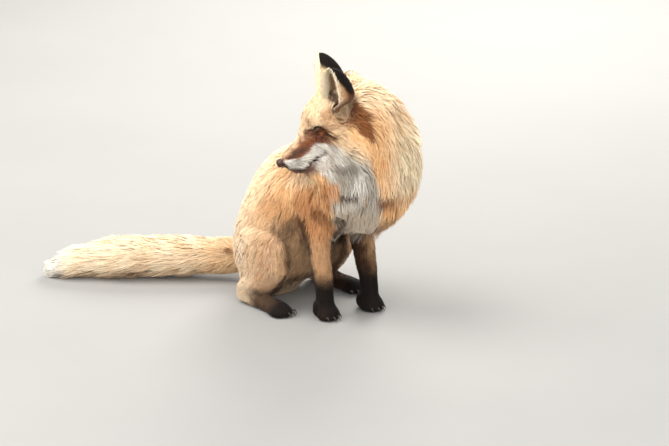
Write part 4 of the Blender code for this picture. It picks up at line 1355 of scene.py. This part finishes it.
class FOX_OT_eyes(bpy.types.Operator):
    """Makes the eyeballs and the lids that half close over them"""

    bl_idname = "fox.eyes"
    bl_label = "Eyes"

    PUPIL = (0.0011, 0.0034)  # half widths of the slit pupil, along the slit between the lids and across it
    ABOVE, BELOW = 0.0007, 0.0006  # how far the slit opens either way from its middle
    SKIRT = 0.0052  # how far a lid runs from its rim under the skin
    LID_HAIRS, LID_HAIR_WIDTH = 700, 0.0008
    FEWER, WIDER = ((1, 1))

    def execute(self, context):
        colours = context.scene.fox_colours
        for which, side in SIDES.items():
            self.eyeball(which, side, colours)
            self.lids(which, side, colours)
        return {"FINISHED"}

    def eyeball(self, which, side, colours):
        """A sphere whose front bulges by a bell curve over the iris. Rings run from the front to the back."""
        gaze, forward, up = eye_axes(side)
        rings, around = 24, 32
        polar = np.linspace(0.03, math.pi - 0.05, rings)
        radius = EYE_RADIUS * (1 + 0.05 * np.exp(-((polar / 0.55) ** 2)))
        radius = np.append(np.repeat(radius, around), radius[[0, -1]])
        away = globe(polar, turns(around), gaze, forward, up) * radius[:, None]
        off = np.linalg.norm(away - np.outer(away @ gaze, gaze), axis=1) / EYE_RADIUS
        off = np.where(away @ gaze < 0, 1.0, off)
        pupil = 1 - ramp(np.hypot((away @ forward) / self.PUPIL[0], (away @ up) / self.PUPIL[1]), 0.8, 1.15)
        black = np.array(colours.black)
        tone = np.array(colours.iris) * (1.15 - 0.55 * ramp(off, 0.30, 0.66))[:, None]
        tone += (black * 0.4 - tone) * ramp(off, 0.62, 0.72)[:, None]
        tone += (black * 0.2 - tone) * pupil[:, None] * (away @ gaze > 0)[:, None]
        points = EYE_AT * (1, side, 1) + away
        obj = head_piece(f"eyeball_{which}", points, tube_faces(rings, around), "eye_amber", "eyes", tone)
        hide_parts(f"eye_{which}")

    def lids(self, which, side, colours):
        """A shell round the eyeball with an arched slit. Rings run from the inner edge of the rim over its
        round edge and out to the skirt, which goes under the skin, by arc length on the eyeball."""
        gaze, forward, up = eye_axes(side)
        around, rings = 48, 14
        turn = turns(around)
        c, d = np.cos(turn), np.sin(turn)
        wide = SLIT_HALF * np.sign(c) * np.abs(c) ** 0.9
        tall = np.where(d > 0, self.ABOVE, self.BELOW) * d * (1 - 0.25 * np.abs(c) ** 3)
        rim = np.stack((wide, tall + SLIT_ARCH * (1 - c**2)), -1)
        step = np.linspace(0, 1, rings - 2)
        arc = rim + self.SKIRT * np.stack((c, d), -1) * step[:, None, None] ** 1.15
        arc = np.concatenate((rim[None] * 1.02, rim[None] * 0.99, arc))
        # Off the eyeball: from inside it at the rim's inner edge, over the lid's swell and down to the skirt.
        lift = 0.0011 + 0.0006 * np.sin(step * math.pi) - 0.0009 * step**2
        lift = np.concatenate(([-0.0006, 0.0003], lift))
        angle = (np.linalg.norm(arc, axis=2) / EYE_RADIUS)[..., None]
        way = unit(arc)
        flat = way[..., :1] * forward + way[..., 1:] * up
        middle = EYE_AT * (1, side, 1)
        ways = np.cos(angle) * gaze + np.sin(angle) * flat
        points = (middle + ways * (EYE_RADIUS + lift)[:, None, None]).reshape(-1, 3)
        out = np.repeat(np.concatenate(([0, 0], step)), around)
        upper = ramp(np.tile(d, rings), -0.10, 0.15)
        edge = 1 - ramp(out, 0.10 + 0.40 * upper, 0.30 + 0.60 * upper)
        tone = coat_colours(from_head(points), colours)
        tone += (np.array(colours.dark) * 0.6 - tone) * edge[:, None]
        faces = tube_faces(rings, around, closed_ends=False)
        obj = head_piece(
            f"eyelids_{which}", points, faces, "ear_velvet", "coat_head", tone, from_head(middle[None])[0]
        )
        self.lid_hair(which, side, obj, out, tone)

    def lid_hair(self, which, side, lids, out, tone):
        """The shortest hair of all, on the lids from just outside their rims, swept away from the eye."""
        points, normals, triangles, _ = read(lids.data)
        flat = to_head(points)
        places = (flat[:, [0, 2]] - EYE_AT[[0, 2]]) * 2 + (0.25 if side > 0 else 0.75, 0.96)
        places = np.column_stack((places, tone))
        surface = points, normals, triangles, places[triangles]
        place, normal, own = spread_roots(surface, self.LID_HAIRS // self.FEWER, ramp(out, 0.15, 0.3), 71)
        rng = np.random.default_rng(72)
        count = len(place)
        away = unit(to_head(place) - EYE_AT * (1, side, 1))
        lie = unit(away * 0.7 + (-0.8, 0, -0.1) + rng.normal(0, 0.12, (count, 3))) @ HEAD_TURN.T
        length = rng.uniform(0.0024, 0.0040, count)
        width = np.full(count, self.LID_HAIR_WIDTH * self.WIDER)
        tufts = Tufts(lids, place, normal, lie, length, length * 0.25, width, own[:, :2], 73)
        tone = own[:, 2:] * (1 + rng.normal(0, 0.06, (count, 1)))
        tufts.piece(f"lid_hair_{which}", "coat_head", np.clip(tone, 0, 1))


class FOX_OT_muzzle(bpy.types.Operator):
    """Makes the nose, the lips and the whiskers"""

    bl_idname = "fox.muzzle"
    bl_label = "Nose, lips and whiskers"

    NOSE_POWER, NOSE_AT = 2.5, (-0.0072, 0, -0.0036)
    # Half sizes forward, sideways and up, over and under the nose's middle.
    NOSE_ABOVE, NOSE_BELOW = (0.0080, 0.0100, 0.0078), (0.0080, 0.0088, 0.0076)
    WHISKER_ROWS, WHISKERS_IN_ROW = 3, 4

    def execute(self, context):
        self.nose()
        self.lips()
        self.whiskers(context.scene.fox_sizes.whisker_length)
        return {"FINISHED"}

    def nose(self):
        """A rounded block, x^2.5 + y^2.5 + z^2.5 = 1 with its own size each way, with two nostrils pressed
        in at the front and the sides and a groove down the middle."""
        rings, around = 40, 56
        polar = np.linspace(0.06, math.pi - 0.06, rings)
        way = globe(polar, turns(around), *np.eye(3))
        radius = (np.abs(way) ** self.NOSE_POWER).sum(1) ** (-1 / self.NOSE_POWER)
        size = np.where(way[:, 2:] > 0, self.NOSE_ABOVE, self.NOSE_BELOW)
        points = way * radius[:, None] * size
        flat = folded(points)
        nostril = blob(flat, (0.0062, 0.0046, -0.0002), (0.0042, 0.0030, 0.0028))
        wing = blob(flat, (0.0030, 0.0088, -0.0012), (0.0050, 0.0034, 0.0018))
        x, side, z = flat.T
        groove = (1 - ramp(side, 0.0, 0.0012)) * ramp(x, 0.002, 0.006) * ramp(z, 0.004, 0.0)
        pressed = 0.0030 * nostril + 0.0022 * wing + 0.0008 * groove
        points = points - unit(points) * pressed[:, None] + self.NOSE_AT
        obj = head_piece("nose_pad", points, tube_faces(rings, around), "nose_leather", "nose_skin")
        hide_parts("nose")

    def lips(self):
        """A thin dark tube along the line of the mouth on each side, laid on the skin."""
        skin, _, _, _ = read(bpy.data.objects["skin"].data)
        head = to_head(skin)
        head = head[(head[:, 0] > -0.1) & (np.abs(head[:, 1]) < 0.06) & (np.abs(head[:, 2]) < 0.05)]
        shapes = []
        for side in SIDES.values():
            x = np.linspace(-0.0035, -0.082, 60)
            z = line_at(x, MOUTH_LINE)
            half = head[head[:, 1] * side > 0]
            away = (half[None, :, 0] - x[:, None]) ** 2 + (half[None, :, 2] - z[:, None]) ** 2
            nearest = np.abs(half[np.argsort(away, axis=1)[:, :6], 1]).mean(1)
            width = np.convolve(np.pad(nearest, 4, mode="edge"), np.ones(9) / 9, mode="valid")
            path = np.column_stack((x, side * (width + 0.0002), z))
            share = np.linspace(0.12, 0.98, len(x))
            radii = 0.0013 * np.sin(math.pi * share) ** 0.5
            shapes.append((tube(path, radii, 8, UP), tube_faces(len(x), 8)))
        head_piece("lips", *many(shapes), "lip_skin", "nose_skin")

    def whiskers(self, longest):
        """Thin tapered tubes in rows on each side of the muzzle. Each runs along its own way, and falls back
        and down as the square of its length."""
        rng = np.random.default_rng(61)
        shapes = []
        for side in SIDES.values():
            for row, place in itertools.product(range(self.WHISKER_ROWS), range(self.WHISKERS_IN_ROW)):
                root = np.array((-0.022 - 0.006 * place, 0.0135 + 0.0012 * place, -0.008 - 0.0050 * row))
                way = np.array((-0.55 - 0.1 * place, 1.0, 0.05 - 0.28 * row))
                way = unit(way + rng.normal(0, 0.08, 3))
                length = longest * (0.62 + 0.12 * place) * rng.uniform(0.85, 1.0)
                s = np.linspace(0, 1, 9)[:, None]
                path = root + way * length * s + np.array((-0.30, 0, -0.22)) * length * s**2
                radii = 0.00030 * (1 - 0.85 * s[:, 0])
                shapes.append((tube(path * (1, side, 1), radii, 4, UP), tube_faces(len(s), 4)))
        head_piece("whiskers", *many(shapes), "whisker_hair", "nose_skin")


class FOX_OT_claws(bpy.types.Operator):
    """Makes the claws of the four feet: curved horns that arch by a half wave and drop as s^1.6"""

    bl_idname = "fox.claws"
    bl_label = "Claws"

    # Each toe's place across the foot, in spaces between toes, and its reach forward.
    TOES = ((-1.5, 0.72), (-0.5, 1.0), (0.5, 1.0), (1.5, 0.72))
    TOE_SPACING, TOE_LENGTH = 0.0109, 0.026
    CLAW_HEIGHT, ROOT_INSIDE = 0.0085, 0.004

    def execute(self, context):
        longest = context.scene.fox_sizes.claw_length
        s = np.linspace(0, 1, 8)
        radii = 0.0019 * (1 - s**1.5) + 0.0002
        shapes = []
        for name in ("forepaw_left", "forepaw_right", "hind_foot_left", "hind_foot_right"):
            low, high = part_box(name)
            for place, reach in self.TOES:
                root = high.x - (1 - reach) * self.TOE_LENGTH - self.ROOT_INSIDE
                x = root + longest * s
                y = np.full(len(s), (low.y + high.y) / 2 + place * self.TOE_SPACING)
                z = self.CLAW_HEIGHT + 0.002 * np.sin(s * math.pi) - 0.0062 * s**1.6
                path = np.column_stack((x, y, z))
                shapes.append((tube(path, radii, 8, LEFTWARD), tube_faces(len(s), 8)))
        turned_out(built("claws", *many(shapes), "claw_horn", "coat_stocking"))
        return {"FINISHED"}


class FOX_OT_stage(bpy.types.Operator):
    """Sets the plain floor, the soft lights and the camera"""

    bl_idname = "fox.stage"
    bl_label = "Stage"

    AZIMUTH, ELEVATION, DISTANCE = math.radians(45), math.radians(18), 9.0
    VIEW_WIDTH = 1.2865  # what the camera takes in across the fox
    SEAT = Vector((0.0526, 0, 0))
    CENTRE = (0.0760, 0.1404)  # the middle of the view from the seat, to the right and up
    # Lamps: the way from the fox to the right, up and towards the camera, then size, power and colour.
    LAMPS = {
        "key": ((-1.6, 2.6, 0.9), 2.4, 112, (1.0, 0.975, 0.94)),
        "fill": ((1.2, 0.9, 2.6), 3.0, 46, (1.0, 0.98, 0.95)),
        "front": ((-1.7, 0.5, 2.4), 2.4, 34, (1.0, 0.98, 0.95)),
        "rim": ((0.7, 2.2, -1.9), 1.4, 92, (1.0, 0.97, 0.92)),
    }

    def execute(self, context):
        scene = context.scene
        right = Vector((math.cos(self.AZIMUTH), math.sin(self.AZIMUTH), 0))
        back = Vector((math.sin(self.AZIMUTH), -math.cos(self.AZIMUTH), 0)) * math.cos(self.ELEVATION)
        back.z = math.sin(self.ELEVATION)
        up = back.cross(right)
        self.camera(scene, right, up, back)
        middle = Vector((0.03, -0.06, 0.20))
        for name, (way, size, power, colour) in self.LAMPS.items():
            self.lamp(name, middle, right * way[0] + up * way[1] + back * way[2], size, power, colour)
        world = bpy.data.worlds.new("studio")
        world.use_nodes = True
        sky = world.node_tree.nodes["Background"]
        sky.inputs["Color"].default_value = (0.97, 0.98, 1.0, 1)
        sky.inputs["Strength"].default_value = 0.85
        scene.world = world
        scene.view_settings.view_transform = "Standard"
        self.floor(scene)
        return {"FINISHED"}

    def camera(self, scene, right, up, back):
        """A long lens, turned so that its own axes are the view's right and up and the way back from it."""
        camera = bpy.data.objects.new("camera", bpy.data.cameras.new("camera"))
        camera.data.lens = self.DISTANCE / self.VIEW_WIDTH * camera.data.sensor_width
        camera.data.clip_end = 100
        target = self.SEAT + right * self.CENTRE[0] + up * self.CENTRE[1]
        turn = Matrix((right, up, back)).transposed().to_4x4()
        camera.matrix_world = Matrix.Translation(target + back * self.DISTANCE) @ turn
        scene.collection.objects.link(camera)
        scene.camera = camera

    def lamp(self, name, at, away, size, power, colour):
        """A square soft light, aimed at the fox."""
        data = bpy.data.lights.new(name, "AREA")
        data.size = size
        data.energy = power
        data.color = colour
        lamp = bpy.data.objects.new(name, data)
        lamp.location = at + away
        lamp.rotation_euler = (-away).to_track_quat("-Z", "Y").to_euler()
        bpy.context.scene.collection.objects.link(lamp)

    def floor(self, scene):
        """A wide flat sheet of pale matt paint."""
        half, cells = 12, 8
        grid = np.linspace(-half, half, cells + 1)
        x, y = np.meshgrid(grid, grid, indexing="ij")
        points = np.column_stack((x.ravel(), y.ravel(), np.zeros(x.size)))
        i, j = np.meshgrid(np.arange(cells), np.arange(cells), indexing="ij")
        first, second = i * (cells + 1) + j, (i + 1) * (cells + 1) + j
        quads = np.stack((first, second, second + 1, first + 1), -1)
        mesh = bpy.data.meshes.new("floor")
        mesh.from_pydata(points.tolist(), [], quads.reshape(-1, 4).tolist())
        floor = bpy.data.objects.new("floor", mesh)
        scene.collection.objects.link(floor)
        mesh.materials.append(bpy.data.materials["studio_paint"])


# --- Registration ------------------------------------------------------------------------------------
class FOX_PT_panel(bpy.types.Panel):
    """Lists the fox's sizes, colours and pieces"""

    bl_idname = "FOX_PT_panel"
    bl_label = "Sitting red fox"
    bl_space_type = "VIEW_3D"
    bl_region_type = "UI"
    bl_category = "Fox"

    def draw(self, context):
        for group in (context.scene.fox_sizes, context.scene.fox_colours):
            box = self.layout.box()
            for name in group.__annotations__:
                box.prop(group, name)
        for operator in OPERATORS:
            self.layout.operator(operator.bl_idname)


OPERATORS = (
    FOX_OT_materials,
    FOX_OT_skin,
    FOX_OT_coat,
    FOX_OT_ears,
    FOX_OT_eyes,
    FOX_OT_muzzle,
    FOX_OT_claws,
    FOX_OT_stage,
)
CLASSES = (FoxSizes, FoxColours, *OPERATORS, FOX_PT_panel)


def register():
    for cls in CLASSES:
        bpy.utils.register_class(cls)
    bpy.types.Scene.fox_sizes = PointerProperty(type=FoxSizes)
    bpy.types.Scene.fox_colours = PointerProperty(type=FoxColours)


def unregister():
    del bpy.types.Scene.fox_sizes
    del bpy.types.Scene.fox_colours
    for cls in reversed(CLASSES):
        bpy.utils.unregister_class(cls)


def main():
    register()
    for operator in OPERATORS:
        group, name = operator.bl_idname.split(".")
        getattr(getattr(bpy.ops, group), name)()


if __name__ == "__main__":
    main()
